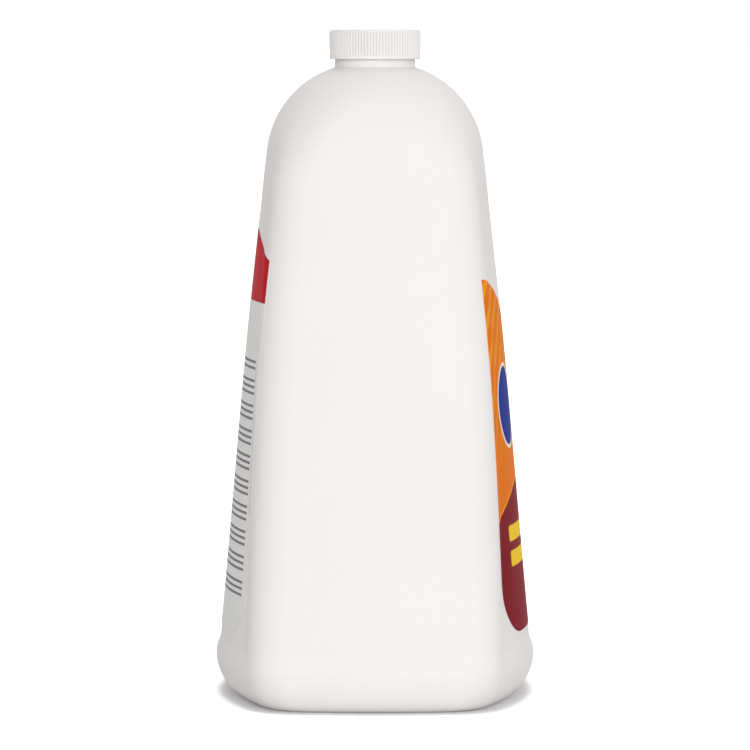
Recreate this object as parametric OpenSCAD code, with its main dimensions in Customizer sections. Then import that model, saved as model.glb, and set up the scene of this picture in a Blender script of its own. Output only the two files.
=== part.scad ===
// Refill jug for a liquid stain remover: a blow-moulded bottle with a hollow grip,
// a ribbed screw cap with its liner, and a film label on the front and on the back.
// Millimetres, +Z up, origin at the centre of the base. The front label faces -Y
// and the grip is on the +X side.

/* [Bottle body] */
// Height of the shoulder where the neck begins
body_height = 279.4; // [265:1:300]
// Width of the body at the foot line, side to side
body_width = 176; // [164:1:190]
// Depth of the body at the foot line, front to back
body_depth = 138.4; // [126:0.2:148]
// Lean of the two narrow sides from upright, degrees
side_draft = 8.5; // [6:0.25:10]
// Lean of the front and back panels from upright, degrees
panel_draft = 5.5; // [4:0.1:7]
// How far the front and back panels bow out of a straight lean
panel_bow = 0.85; // [0:0.05:2]
// Slope of the shoulder where it meets the neck, degrees from level
shoulder_slope = 17; // [10:1:25]
// Thickness of the blown wall
wall = 1.3; // [0.9:0.1:2]
// Radius of the four upright corners
corner_radius = 20; // [14:1:26]
// Radius of the gentle crown across the front and back panels
panel_crown = 225; // [180:5:320]
// Radius of the gentle crown across the narrow sides
side_crown = 275; // [200:5:400]
// Depth of the label panels below the corners
panel_recess = 2.3; // [1:0.1:3]
// Height at which the panel recess has faded out
recess_top = 242; // [225:1:250]
// Height over which the recess fades out below that
recess_fade = 97; // [60:1:120]

/* [Foot] */
// Height of the foot line, where the panels begin
foot_height = 27; // [24:0.5:32]
// Height of the widest line of the foot
crest_height = 17.5; // [14:0.5:20]
// How far the foot stands out past the front and back panels
foot_proud_depth = 2.25; // [1:0.05:4]
// How far the foot stands out past the narrow sides
foot_proud_width = 1.5; // [0.5:0.1:3]
// How far the foot rounds in below, front and back
foot_round_depth = 15; // [10:0.5:20]
// How far the foot rounds in below, at the sides
foot_round_width = 12; // [8:0.5:18]
// Width of the flat band that the jug stands on
stand_band = 6; // [4:0.5:10]
// Height of the push-up in the middle of the base
push_up = 4.5; // [2:0.5:8]
// Distance over which the base rises to the push-up
push_up_run = 40; // [25:1:42]

/* [Neck] */
// Outer diameter of the neck below its thread
neck_diameter = 35.9; // [33:0.1:37]
// Bore of the neck
neck_bore = 32.2; // [28:0.1:32.6]
// Height of plain neck that shows between shoulder and cap
neck_gap = 3.55; // [2:0.05:6]

/* [Grip] */
// Width of the hollow grip, seen from the front
grip_width = 26; // [22:0.5:30]
// Depth of the hollow grip, front to back
grip_depth = 35; // [28:0.5:42]
// Width of the finger gap between grip and body
finger_gap = 25; // [20:0.5:28]
// Height of the lower end of the finger gap
gap_bottom = 129; // [120:1:150]
// Height of the upper end of the finger gap
gap_top = 214; // [205:1:219]
// Half depth of the flat land along the edge of the gap, where the web was punched out
gap_land = 8; // [5:0.5:11]
// How far the edge of the gap is rounded over
gap_edge_round = 4; // [2:0.5:6]
// Distance from the gap over which the body regains its depth
gap_run = 22; // [16:1:28]
// How fast the body regains its depth below the gap, as a share of that beside it
run_below = 0.6; // [0.5:0.05:1]
// The same above the gap
run_above = 0.84; // [0.8:0.02:1]

/* [Cap] */
// Outer diameter over the ribs
cap_diameter = 40.5; // [39.8:0.1:44]
// Height of the cap
cap_height = 13.05; // [11:0.05:18]
// Thickness of the cap's side wall at the bottom of its ribs
cap_wall = 0.9; // [0.6:0.05:1.5]
// Thickness of the cap's top
cap_top = 1.5; // [1:0.1:2.5]
// Number of ribs round the cap
rib_count = 90; // [60:2:100]
// Depth of the ribs
rib_depth = 0.3; // [0.15:0.05:0.5]
// Height of the plain bead at the cap's lower edge
bead_height = 1.2; // [0.8:0.1:2.5]
// How far the bead stands out past the ribs
bead_proud = 0.15; // [0.05:0.05:0.5]
// Radius of the rounded top edge of the cap
cap_edge_radius = 1; // [0.5:0.1:1.4]
// Thickness of the foam liner
liner_thickness = 1; // [0.6:0.1:2]
// Gap between the liner and the wall of the cap
liner_clearance = 0.4; // [0.2:0.1:1]

/* [Labels] */
// Distance of both labels from the narrow sides at the height of the label foot
label_side_low = 21.4; // [19:0.2:31]
// Distance of both labels from the narrow sides at the height of the front label's tip
label_side_high = 11.1; // [10.1:0.2:16.1]
// Height of the lower edge of both labels
label_foot = 31; // [29:0.5:36]
// Radius of the lower corners of both labels
label_corner = 26; // [12:1:32]
// Height of the front label's tip
front_tip = 187; // [175:1:195]
// How far the top edge of the front label falls from its tip
front_fall = 23; // [10:1:30]
// Height of the back label's near upper corner
back_corner = 191; // [180:1:195]
// How far the top edge of the back label rises to its crown
back_rise = 15; // [5:1:18]
// Height of the rounded shoulder of both labels below the grip
label_turn = 20; // [10:1:30]
// Thickness of the label film
film = 0.2; // [0.1:0.05:0.3]
// Space between the film and the panel
film_clearance = 0.12; // [0.1:0.02:0.3]
// Thickness of a printed field
ink = 0.1; // [0.05:0.05:0.15]
// Space between a printed field and the film
ink_clearance = 0.12; // [0.1:0.02:0.3]

// Distance that both labels keep from the hollow round the finger gap
hollow_margin = 2; // [1:0.5:6]

/* [Print] */
// Height of the maroon field at the label's edge
maroon_edge = 81; // [70:1:90]
// Further height of the maroon field at the label's middle
maroon_rise = 17; // [5:1:19]
// Half width of the yellow bars
bar_half = 46; // [30:1:50]
// Height of the lowest yellow bar's lower edge
bar_foot = 60; // [50:1:62]
// Height of one yellow bar
bar_height = 7; // [4:0.5:8]
// Space between the yellow bars
bar_space = 4; // [2:0.5:5]
// Number of yellow bars
bar_count = 2; // [1:1:2]
// Radius of the blue roundel
roundel_radius = 19; // [12:1:20]
// Height of the roundel's centre
roundel_height = 130; // [128:1:134]
// Distance of the roundel's centre from the middle of the label, to the left
roundel_left = 27; // [24:1:29]
// Width of the label that stays bare along its edge
print_margin = 0.6; // [0.4:0.1:3]
// Right end of the red banner, from the middle of the label
banner_right = -16; // [-30:0.5:-15]
// Depth of the red banner across the top of the back label
banner_depth = 30; // [15:1:34]
// Height of the lowest grey line of plain print on the back label
first_line = 48; // [42:1:52]
// Number of grey lines
line_count = 9; // [5:1:10]
// Number of lines, from the bottom, that run on under the grip
line_short = 3; // [1:1:3]
// Step by which the right end of the grey lines varies
line_step = 7; // [3:1:10]
// Margin beside the grey lines
line_margin = 9; // [5:0.5:14]
// Height of one grey line
line_height = 3.2; // [2:0.2:4]
// Distance from one grey line to the next
line_pitch = 11; // [9:0.5:12]

/* [Hidden] */
$fn = 96;

// Neck, rim and cap heights follow from the body height
neck_radius = neck_diameter / 2;
cap_foot = body_height + neck_gap;
rim_height = cap_foot + cap_height - cap_top - liner_thickness;
cap_radius = cap_diameter / 2;
cap_bore = cap_radius - rib_depth - cap_wall;

// Steps along a quarter of a body section: side crown, corner, panel crown. The grip side has more
left_steps = [2, 4, 5];
right_steps = [3, 5, 8];
// The same for the inside of the wall, which nobody sees
inner_left_steps = [2, 3, 4];
inner_right_steps = [2, 4, 6];

// A straight-sided flow from 0 to 1 with a soft start and end
function ease(t) = let (u = min(1, max(0, t))) u * u * (3 - 2 * u);
function mix(a, b, t) = a + (b - a) * t;

// Shoulder arc of an upright outline that leans in by draft and ends at the neck
function shoulder_radius(half, draft) =
    let (rise = body_height - foot_height)
    (half - neck_radius - rise * tan(draft))
    / (cos(draft) - sin(shoulder_slope) + (sin(draft) - cos(shoulder_slope)) * tan(draft));

// Half breadth of the upright outline at height z, with the wall taken off for the inside
function outline(z, half, draft, inset) =
    let (r = shoulder_radius(half, draft),
         cx = neck_radius - r * sin(shoulder_slope),
         cz = body_height - r * cos(shoulder_slope),
         touch = cz + r * sin(draft))
    z <= touch
        ? half - (z - foot_height) * tan(draft) - inset / cos(draft)
        : cx + sqrt(max(0, pow(r - inset, 2) - pow(z - cz, 2)));

// The foot stands out below the foot line and rounds in to the floor
function foot_swell(z, proud) = proud * (1 - ease((z - crest_height) / (foot_height - crest_height)));
function foot_round(z, depth, inset) =
    z >= crest_height ? 0
    : depth * (1 - sqrt(max(0, 1 - pow((crest_height - z) / (crest_height - inset), 2))));

// What the lean of the side adds below the foot line is left out of the foot
function lean_back(z, draft) = min(0, z - foot_height) * tan(draft);

// The bow swells from the foot line to the top of the panels and is fullest above their middle
bow_rise = 1.6;
function bow(z) =
    let (t = min(1, max(0, (z - foot_height) / (recess_top - foot_height))))
    panel_bow * sin(180 * pow(t, bow_rise));

function half_width(z, inset = 0) =
    outline(z, body_width / 2, side_draft, inset) + lean_back(z, side_draft)
    + foot_swell(z, foot_proud_width) - foot_round(z, foot_round_width, inset);
function half_depth(z, inset = 0) =
    outline(z, body_depth / 2, panel_draft, inset) + lean_back(z, panel_draft) + bow(z)
    + foot_swell(z, foot_proud_depth) - foot_round(z, foot_round_depth, inset);

// Lowest height that the hollow round the finger gap reaches
function hollow_foot() = gap_low - (gap_radius + gap_run) / run_below;

// How deep the label panels lie below the corners at height z
function recess(z) =
    panel_recess * ease((z - crest_height) / (foot_height - crest_height))
    * min(1, max(0, (recess_top - z) / recess_fade));

// The section turns from a rounded rectangle to a circle through the shoulder
shoulder_start = 226;
function roundness(z) = ease((z - shoulder_start) / (body_height - shoulder_start));

// The finger gap is a slot whose middle line runs parallel to the grip
gap_radius = finger_gap / 2;
gap_low = gap_bottom + gap_radius;
gap_high = gap_top - gap_radius;
function gap_middle(z) = half_width(z) - grip_width - gap_radius;

// The meeting point, on the upper right, of two circles: centres p and q, radii r and s
function circles_meet(p, r, q, s) =
    let (d = norm(q - p),
         e = (q - p) / d,
         along = (d * d + r * r - s * s) / (2 * d),
         off = sqrt(max(0, r * r - along * along)),
         one = p + along * e + off * [-e[1], e[0]],
         two = p + along * e - off * [-e[1], e[0]])
    one[0] + one[1] > two[0] + two[1] ? one : two;

// The arcs of a quarter section with half width a and half depth b, its panel sunk by dip:
// [a, b, corner radius, corner centre, crease between panel and corner, middle of side crown]
function arcs_of(a, b, dip, inset) =
    let (rc = min(corner_radius - inset, 0.55 * a, 0.55 * b),
         side_mid = [a - side_crown, 0],
         corner = circles_meet([0, b + dip - panel_crown], panel_crown - rc, side_mid, side_crown - rc),
         crease = circles_meet([0, b - panel_crown], panel_crown, corner, rc))
    [a, b, rc, corner, crease, side_mid];

// Half depth of those arcs at a distance x from the middle
function arcs_depth(q, x) =
    let (corner = q[3], crease = q[4], side_mid = q[5],
         side_x = side_mid[0] + side_crown * cos(atan2(corner[1], corner[0] - side_mid[0])))
    x <= crease[0] ? q[1] - panel_crown + sqrt(panel_crown * panel_crown - x * x)
    : x <= side_x ? corner[1] + sqrt(max(0, q[2] * q[2] - pow(x - corner[0], 2)))
    : sqrt(max(0, side_crown * side_crown - pow(x - side_mid[0], 2)));

// Distances from the middle at which a quarter is cut, from the side in, at equal turns of its arcs
function arc_cuts(q, steps) =
    let (corner = q[3], crease = q[4], side_mid = q[5],
         side_end = atan2(corner[1], corner[0] - side_mid[0]),
         corner_end = atan2(crease[1] - corner[1], crease[0] - corner[0]),
         panel_end = acos(crease[0] / panel_crown))
    concat([for (i = [0 : steps[0] - 1]) side_mid[0] + side_crown * cos(side_end * i / steps[0])],
           [for (i = [0 : steps[1] - 1])
               corner[0] + q[2] * cos(mix(side_end, corner_end, i / steps[1]))],
           [for (i = [0 : steps[2]]) panel_crown * cos(mix(panel_end, 90, i / steps[2]))]);

// The same number of cuts laid along the grip, across the finger gap and over the body beside it,
// where they go past the middle by the width of the panel that the hollow takes up there
past_middle = 8;
function gap_cuts(z, a, steps, inset) =
    let (n = steps[0] + steps[1],
         far = gap_middle(z) - gap_radius)
    concat([for (i = [0 : n]) a - (grip_width - inset) * (1 - cos(90 * i / n))], [gap_middle(z)],
           [for (i = [0 : steps[2] - 2]) mix(far, -past_middle, pow(i / (steps[2] - 2), 1.2))]);

// How far a quarter's cuts follow the gap: 1 along it, 0 well clear of it
follow_below = 70;
follow_above = 34;
follow_margin = 8;
function follows_gap(z) =
    ease((z - gap_bottom + follow_below) / (follow_below - follow_margin))
    * ease((gap_top + follow_above - z) / (follow_above - follow_margin));

// How much of its full depth the body keeps beside the gap: 0 at the gap's edge and along the grip,
// 1 past the run-out. It rises roundly beside the gap and softly above and below it. The space
// inside stays further from the gap, because the skin is steep there
steep_wall = 2.4;
function kept_depth(x, z, inset) =
    let (dx = min(0, x - gap_middle(z)),
         dz = z < gap_low ? (gap_low - z) * run_below : max(0, z - gap_high) * run_above,
         d = norm([dx, dz]),
         s = min(1, max(0, (d - gap_radius - steep_wall * inset) / gap_run)),
         sideways = d > 0 ? pow(dx / d, 2) : 0)
    mix(ease(s), sqrt(1 - (1 - s) * (1 - s)), sideways);

// Half depth of the grip: round outside, and inside down to the flat land along the gap
function grip_depth_at(x, z, inset) =
    let (centre = half_width(z) - grip_width / 2,
         t = min(1, abs(x - centre) / (grip_width / 2 - (x > centre ? inset : 0))),
         deep = grip_depth / 2 - inset)
    x > centre ? deep * sqrt(1 - t * t) : mix(gap_land - inset, deep, sqrt(1 - t * t));

// Half depth of the skin at x, for the arcs q of the section at height z
function skin(q, x, z, inset) =
    let (reach = abs(x),
         full = mix(arcs_depth(q, reach), q[1] * sqrt(max(0, 1 - pow(reach / q[0], 2))), roundness(z)))
    mix(min(full, grip_depth_at(x, z, inset)), full, kept_depth(x, z, inset));

function body_arcs(z, inset) = arcs_of(half_width(z, inset), half_depth(z, inset), recess(z), inset);

// A whole section, counter-clockwise from the grip side, at height z
function body_section(z, inset, left, right) =
    let (q = body_arcs(z, inset),
         r = mix(arc_cuts(q, right), gap_cuts(z, q[0], right, inset), follows_gap(z)),
         l = [for (x = arc_cuts(q, left)) x + past_middle * follows_gap(z) * max(0, 1 - x / q[4][0])],
         m = len(r) - 1,
         n = len(l) - 1)
    concat([for (i = [0 : m - 1]) [r[i], skin(q, r[i], z, inset), z]],
           [for (i = [n : -1 : 1]) [-l[i], skin(q, -l[i], z, inset), z]],
           [for (i = [0 : n - 1]) [-l[i], -skin(q, -l[i], z, inset), z]],
           [for (i = [m : -1 : 1]) [r[i], -skin(q, r[i], z, inset), z]]);

// A section of the underside, drawn in from the edge of the foot by a given distance
function base_section(z, drawn_in, inset, left, right) =
    let (q = arcs_of(half_width(inset, inset) - drawn_in, half_depth(inset, inset) - drawn_in, 0, inset),
         r = arc_cuts(q, right),
         l = arc_cuts(q, left),
         m = len(r) - 1,
         n = len(l) - 1)
    concat([for (i = [0 : m - 1]) [r[i], arcs_depth(q, r[i]), z]],
           [for (i = [n : -1 : 1]) [-l[i], arcs_depth(q, l[i]), z]],
           [for (i = [0 : n - 1]) [-l[i], -arcs_depth(q, l[i]), z]],
           [for (i = [m : -1 : 1]) [r[i], -arcs_depth(q, r[i]), z]]);

// Heights of the sections, close together where the form turns
function stretch(from, to, count) = [for (i = [0 : count - 1]) mix(from, to, i / count)];
function foot_heights(inset, count) =
    [for (i = [1 : count]) inset + (crest_height - inset) * (1 - cos(90 * i / count))];
// The shoulder is cut at equal turns of its arc, up to where it runs into the neck
function shoulder_heights(inset, reach, count) =
    let (r = shoulder_radius(body_depth / 2, panel_draft),
         cz = body_height - r * cos(shoulder_slope),
         cx = neck_radius - r * sin(shoulder_slope),
         first = asin(max(-1, (lip - cz) / (r - inset))),
         last = acos((reach - cx) / (r - inset)))
    [for (i = [1 : count]) cz + (r - inset) * sin(mix(first, last, i / count))];

// A closed solid through a list of sections that all have the same number of points. Each field
// between four points is cut along the diagonal over which the skin turns less
module loft(rings) {
    n = len(rings[0]);
    m = len(rings);
    facing = [for (k = [0 : m - 1]) [for (i = [0 : n - 1])
        let (across = rings[k][(i + 1) % n] - rings[k][(i + n - 1) % n],
             up = rings[min(m - 1, k + 1)][i] - rings[max(0, k - 1)][i],
             out = cross(across, up))
        out / norm(out)]];
    polyhedron(
        points = [for (ring = rings) each ring],
        faces = concat(
            [[for (i = [0 : n - 1]) i]],
            [for (k = [0 : m - 2]) for (i = [0 : n - 1]) each
                let (j = (i + 1) % n, a = k * n + i, b = k * n + j, c = b + n, d = a + n)
                facing[k][i] * facing[k + 1][j] > facing[k][j] * facing[k + 1][i]
                    ? [[a, d, c], [a, c, b]] : [[a, d, b], [b, d, c]]],
            [[for (i = [n - 1 : -1 : 0]) (m - 1) * n + i]]),
        convexity = 6);
}

// How far below the finger gap the sections begin to lie closer together
gap_lead = 10;
// Height of the lip over the hollow, and how far below it the skin turns over to it
lip = gap_high + (gap_radius + gap_run) / run_above + 1;
lip_round = 6;

// The body as it leaves the mould, with a web across the finger gap: the outer skin, or the space
// inside for a given inset
module body_form(inset, left, right, counts, reach) {
    shoulder = shoulder_heights(inset, reach, counts[7]);
    loft(concat(
        [for (t = [1, 0.6, 0.25, 0])
            base_section(push_up * ease(t) + inset, stand_band + push_up_run * t, inset, left, right)],
        [base_section(inset, 0, inset, left, right)],
        [for (z = concat(
            foot_heights(inset, counts[0]),
            [for (i = [1 : counts[1]]) mix(crest_height, foot_height, i / counts[1])],
            [for (i = [1, 2]) mix(foot_height, hollow_foot(), i / 3)],
            stretch(hollow_foot(), gap_bottom - gap_lead, counts[2]),
            stretch(gap_bottom - gap_lead, gap_low, counts[3]),
            stretch(gap_low, gap_high, 2),
            stretch(gap_high, gap_top + gap_edge_round, counts[4]),
            stretch(gap_top + gap_edge_round, lip - lip_round, counts[5]),
            [for (i = [0 : counts[6]]) lip + lip_round * (i / counts[6] - 1)],
            shoulder)) body_section(z, inset, left, right)]));
}

// What is punched out of the web: a slot that leans with the grip, its edge rounded over to front
// and back
module gap_form(grow, sides, turns) {
    half = sides / 2;
    edge_turn = 60;
    function on_slot(t, z, r, y) = let (h = z + r * sin(t)) [gap_middle(h) + r * cos(t), y, h];
    rows = [for (i = [-turns : turns])
        let (t = -edge_turn * i / turns) [gap_land * sin(t), gap_edge_round * (1 - cos(t))]];
    ends = concat([[body_depth, rows[0][1]]], rows, [[-body_depth, rows[0][1]]]);
    loft([for (row = ends) let (r = gap_radius + grow + row[1])
        concat([for (i = [0 : half]) on_slot(180 * i / half, gap_high, r, row[0])],
               [for (i = [0 : half]) on_slot(180 + 180 * i / half, gap_low, r, row[0])])]);
}

module bottle() {
    bore_radius = neck_bore / 2;
    // How far the neck reaches down into the shoulder, and how far the shoulder ends inside it
    overlap = 3;
    inside = 0.4;
    color("white")
    difference() {
        union() {
            difference() {
                body_form(0, left_steps, right_steps, [5, 3, 6, 7, 5, 6, 4, 8], neck_radius - inside);
                gap_form(0, 24, 2);
            }
            translate([0, 0, body_height - overlap])
                cylinder(r = neck_radius, h = rim_height - body_height + overlap);
        }
        difference() {
            body_form(wall, inner_left_steps, inner_right_steps, [3, 2, 3, 4, 3, 3, 2, 5],
                      bore_radius - inside);
            gap_form(wall, 16, 1);
        }
        translate([0, 0, body_height - overlap])
            cylinder(r = bore_radius, h = rim_height - body_height + 2 * overlap);
    }
}

// Outline of the cap with a rounded top edge, turned round its axis
module cap_outline(radius) {
    rotate_extrude()
        union() {
            square([radius - cap_edge_radius, cap_height]);
            square([radius, cap_height - cap_edge_radius]);
            translate([radius - cap_edge_radius, cap_height - cap_edge_radius])
                circle(r = cap_edge_radius);
        }
}

module cap() {
    valley = cap_radius - rib_depth;
    // The ribs' outline stands a little past the turned outline, so that the two cross cleanly
    past = 0.02;
    color("white")
    translate([0, 0, cap_foot])
        difference() {
            union() {
                intersection() {
                    cap_outline(cap_radius);
                    linear_extrude(height = cap_height)
                        polygon([for (i = [0 : 2 * rib_count - 1])
                            let (t = 180 * i / rib_count, r = i % 2 == 0 ? cap_radius + past : valley)
                            [r * cos(t), r * sin(t)]]);
                }
                cylinder(r = cap_radius + bead_proud, h = bead_height);
            }
            translate([0, 0, -1])
                cylinder(r = cap_bore, h = cap_height - cap_top + 1);
        }
}

module cap_liner() {
    color("gainsboro")
    translate([0, 0, rim_height])
        cylinder(r = cap_bore - liner_clearance, h = liner_thickness);
}

// A thin patch that lies on a panel: face is -1 at the front and 1 at the back. low and high give
// its lower and upper edge from its share across, left and right give its sides at a height, and
// share says how its columns are spread
module patch(face, lift, thick, across, up, low, high, left, right, share = function (i, n) i / n) {
    nu = across + 1;
    nv = up + 1;
    function place(i, j, out) =
        let (u = share(i, across),
             z = mix(low(u), high(u), (1 - cos(180 * j / up)) / 2),
             x = mix(left(z), right(z), u))
        [x, face * (skin(body_arcs(z, 0), x, z, 0) + lift + out), z];
    skins = [for (out = face < 0 ? [0, thick] : [thick, 0]) for (j = [0 : up]) for (i = [0 : across])
        place(i, j, out)];
    size = nu * nv;
    function at(layer, i, j) = layer * size + j * nu + i;
    rim = concat([for (i = [0 : across - 1]) [i, 0]], [for (j = [0 : up - 1]) [across, j]],
                 [for (i = [across : -1 : 1]) [i, up]], [for (j = [up : -1 : 1]) [0, j]]);
    polyhedron(
        points = skins,
        faces = concat(
            [for (j = [0 : up - 1]) for (i = [0 : across - 1]) each
                [[at(0, i, j), at(0, i + 1, j), at(0, i + 1, j + 1)],
                 [at(0, i, j), at(0, i + 1, j + 1), at(0, i, j + 1)],
                 [at(1, i, j), at(1, i + 1, j + 1), at(1, i + 1, j)],
                 [at(1, i, j), at(1, i, j + 1), at(1, i + 1, j + 1)]]],
            [for (k = [0 : len(rim) - 1]) each let (p = rim[k], q = rim[(k + 1) % len(rim)])
                [[at(0, p[0], p[1]), at(1, p[0], p[1]), at(1, q[0], q[1])],
                 [at(0, p[0], p[1]), at(1, q[0], q[1]), at(0, q[0], q[1])]]]),
        convexity = 4);
}

// Outlines that the labels and their print share
label_half_low = half_width(label_foot) - label_side_low;
label_half_high = half_width(front_tip) - label_side_high;
label_lean = (label_half_low - label_half_high) / (front_tip - label_foot);
function label_edge(z) = label_half_low - (z - label_foot) * label_lean;
// How far a rounded corner takes an edge in, at a share u across the label
function corner_cut(u, radius) =
    let (t = max(0, 1 - u * 2 * label_half_low / radius)) radius * (1 - sqrt(max(0, 1 - t * t)));
function label_low(u) = label_foot + corner_cut(min(u, 1 - u), label_corner);
// Height at which the hollow round the finger gap, with its margin, stands over a place x: on a slanting
// line beside the gap and on an oval round its lower end
function hollow_height(x) =
    let (r = gap_radius + gap_run + hollow_margin,
         lean = tan(side_draft),
         dx = gap_middle(gap_low) - x,
         bend = run_below * run_below + lean * lean,
         root = lean * lean * dx * dx - bend * (dx * dx - r * r))
    dx >= r ? gap_low + (dx - r) / lean : gap_low - (sqrt(root) - lean * dx) / bend;
function label_top(u, edge) =
    let (side = 2 * u - 1,
         guess = hollow_height(side * label_edge(gap_bottom)),
         height = hollow_height(side * label_edge(min(edge, guess))))
    min(edge, height - corner_cut(1 - u, label_turn));
function front_high(u) = label_top(u, front_tip - front_fall * pow(2 * u, 1.5));
function back_high(u) = label_top(u, back_corner + back_rise * sin(180 * u));
// Share across the label at which the hollow's slanting edge lies
hollow_share = 0.5 + (gap_middle(gap_low) - gap_radius - gap_run - hollow_margin) / (2 * label_edge(gap_low));
// Columns of a label: even on each side of that edge, and closer together towards both sides
label_columns = function (i, n)
    let (left = floor(n / 2))
    i <= left ? hollow_share * (1 - cos(90 * i / left))
    : mix(hollow_share, 1, sin(90 * (i - left) / (n - left)));
print_lift = film_clearance + film + ink_clearance;

module front_label() {
    color("darkorange")
    patch(-1, film_clearance, film, 18, 5, function (u) label_low(u), function (u) front_high(u),
          function (z) -label_edge(z), function (z) label_edge(z), label_columns);
}

module front_label_maroon_field() {
    color("maroon")
    patch(-1, print_lift, ink, 18, 3, function (u) label_low(u) + print_margin,
          function (u) min(maroon_edge + maroon_rise * sin(180 * u), front_high(u) - print_margin),
          function (z) print_margin - label_edge(z), function (z) label_edge(z) - print_margin,
          label_columns);
}

module front_label_yellow_bars() {
    color("gold")
    for (k = [0 : bar_count - 1]) {
        foot = bar_foot + k * (bar_height + bar_space);
        patch(-1, print_lift + ink + ink_clearance, ink, 8, 1, function (u) foot,
              function (u) foot + bar_height, function (z) -bar_half, function (z) bar_half);
    }
}

module front_label_blue_roundel() {
    function reach(z) =
        sqrt(max(0.01, pow(roundel_radius, 2) - pow(z - roundel_height, 2)));
    color("navy")
    patch(-1, print_lift, ink, 3, 12, function (u) roundel_height - roundel_radius,
          function (u) roundel_height + roundel_radius, function (z) -roundel_left - reach(z),
          function (z) -roundel_left + reach(z));
}

module back_label() {
    color("whitesmoke")
    patch(1, film_clearance, film, 18, 5, function (u) label_low(u), function (u) back_high(u),
          function (z) -label_edge(z), function (z) label_edge(z), label_columns);
}

module back_label_red_banner() {
    share = 0.5 * (1 + banner_right / label_edge(back_corner));
    color("firebrick")
    patch(1, print_lift, ink, 6, 2, function (u) back_high(share * u) - banner_depth,
          function (u) back_high(share * u) - print_margin,
          function (z) print_margin - label_edge(z), function (z) banner_right);
}

module back_label_grey_lines() {
    color("gray")
    for (k = [0 : line_count - 1]) {
        foot = first_line + k * line_pitch;
        ragged = line_margin / 2 + line_step * (k % 3);
        patch(1, print_lift, ink, 4, 1, function (u) foot, function (u) foot + line_height,
              function (z) line_margin - label_edge(z), function (z) -ragged);
        if (k < line_short)
            patch(1, print_lift, ink, 4, 1, function (u) foot, function (u) foot + line_height,
                  function (z) line_margin / 2, function (z) label_edge(z) - line_margin);
    }
}

bottle();
cap();
cap_liner();
front_label();
front_label_maroon_field();
front_label_yellow_bars();
front_label_blue_roundel();
back_label();
back_label_red_banner();
back_label_grey_lines();
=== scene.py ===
"""Looks of a white refill jug: blow-moulded body, ribbed screw cap, foam liner and two film labels.

Sizes are in millimetres, as on the part's drawing, and become metres where a mesh is written.
The body, its neck and its labels follow the same outline formulas as the part's source.
"""
import logging
import math
from contextlib import contextmanager
from dataclasses import dataclass, field
from enum import Enum
from typing import Iterator, Sequence

import bpy
import numpy as np
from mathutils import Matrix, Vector


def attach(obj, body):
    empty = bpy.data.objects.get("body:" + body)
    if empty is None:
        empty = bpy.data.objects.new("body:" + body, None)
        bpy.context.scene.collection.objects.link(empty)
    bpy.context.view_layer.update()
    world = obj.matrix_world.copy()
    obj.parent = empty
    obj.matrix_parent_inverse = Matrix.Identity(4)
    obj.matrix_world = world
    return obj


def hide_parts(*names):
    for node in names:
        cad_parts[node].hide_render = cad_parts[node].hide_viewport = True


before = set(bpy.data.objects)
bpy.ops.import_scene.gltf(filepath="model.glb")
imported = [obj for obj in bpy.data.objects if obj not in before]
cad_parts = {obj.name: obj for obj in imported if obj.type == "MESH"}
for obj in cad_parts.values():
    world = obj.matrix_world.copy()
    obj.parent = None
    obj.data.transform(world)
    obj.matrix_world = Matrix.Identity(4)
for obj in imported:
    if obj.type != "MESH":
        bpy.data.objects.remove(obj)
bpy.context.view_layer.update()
MM = 0.001
ON_WALL = 0.02
PLASTIC_IOR = 1.5
log = logging.getLogger("refill_jug")


class Pick(Enum):
    """What a selection is made of in edit mode."""

    VERTICES = (True, False, False)
    FACES = (False, False, True)


class Side(Enum):
    """The two panels that carry a label."""

    FRONT = -1
    BACK = 1


def ease(share: np.ndarray) -> np.ndarray:
    """A flow from 0 to 1 with a soft start and end."""
    held = np.clip(share, 0.0, 1.0)
    return held * held * (3 - 2 * held)


def mix(first: np.ndarray, second: np.ndarray, share: np.ndarray) -> np.ndarray:
    """A value that goes from first at share 0 to second at share 1."""
    return first + (second - first) * share


def soft_max(first: np.ndarray, second: np.ndarray, width: np.ndarray) -> np.ndarray:
    """The larger of two heights, with a round valley where they cross.

    Args:
        first: One height.
        second: The other height.
        width: Difference in height below which the two blend.

    Returns:
        The blended height.
    """
    share = np.clip(1 - np.abs(first - second) / width, 0.0, 1.0)
    return np.maximum(first, second) + share * share * width / 4


def coordinates(piece: bpy.types.Object) -> np.ndarray:
    """Every vertex of a mesh, as rows of x, y and z in metres.

    Args:
        piece: The object whose mesh is read.

    Returns:
        One row for each vertex.
    """
    flat = np.empty(len(piece.data.vertices) * 3)
    piece.data.vertices.foreach_get("co", flat)
    return flat.reshape(-1, 3)


def set_coordinates(piece: bpy.types.Object, points: np.ndarray) -> None:
    """Writes every vertex of a mesh, in metres."""
    piece.data.vertices.foreach_set("co", points.ravel())
    piece.data.update()


def hold(piece: bpy.types.Object) -> None:
    """Makes a piece the only selected object, and the active one.

    Args:
        piece: The object to select.
    """
    bpy.ops.object.select_all(action="DESELECT")
    piece.select_set(True)
    bpy.context.view_layer.objects.active = piece


def mark(piece: bpy.types.Object, vertices: np.ndarray) -> None:
    """Selects the vertices that a mask names, and nothing else of the mesh.

    Args:
        piece: The object to select in.
        vertices: One truth value for each vertex.
    """
    mesh = piece.data
    mesh.polygons.foreach_set("select", np.zeros(len(mesh.polygons), bool))
    mesh.edges.foreach_set("select", np.zeros(len(mesh.edges), bool))
    mesh.vertices.foreach_set("select", vertices)


@contextmanager
def editing(piece: bpy.types.Object, pick: Pick = Pick.VERTICES) -> Iterator[None]:
    """Opens a piece in edit mode for the operators that follow.

    Args:
        piece: The object to work on.
        pick: What a selection is made of.
    """
    hold(piece)
    bpy.context.tool_settings.mesh_select_mode = pick.value
    bpy.ops.object.mode_set(mode="EDIT")
    try:
        yield
    finally:
        bpy.ops.object.mode_set(mode="OBJECT")


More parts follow.
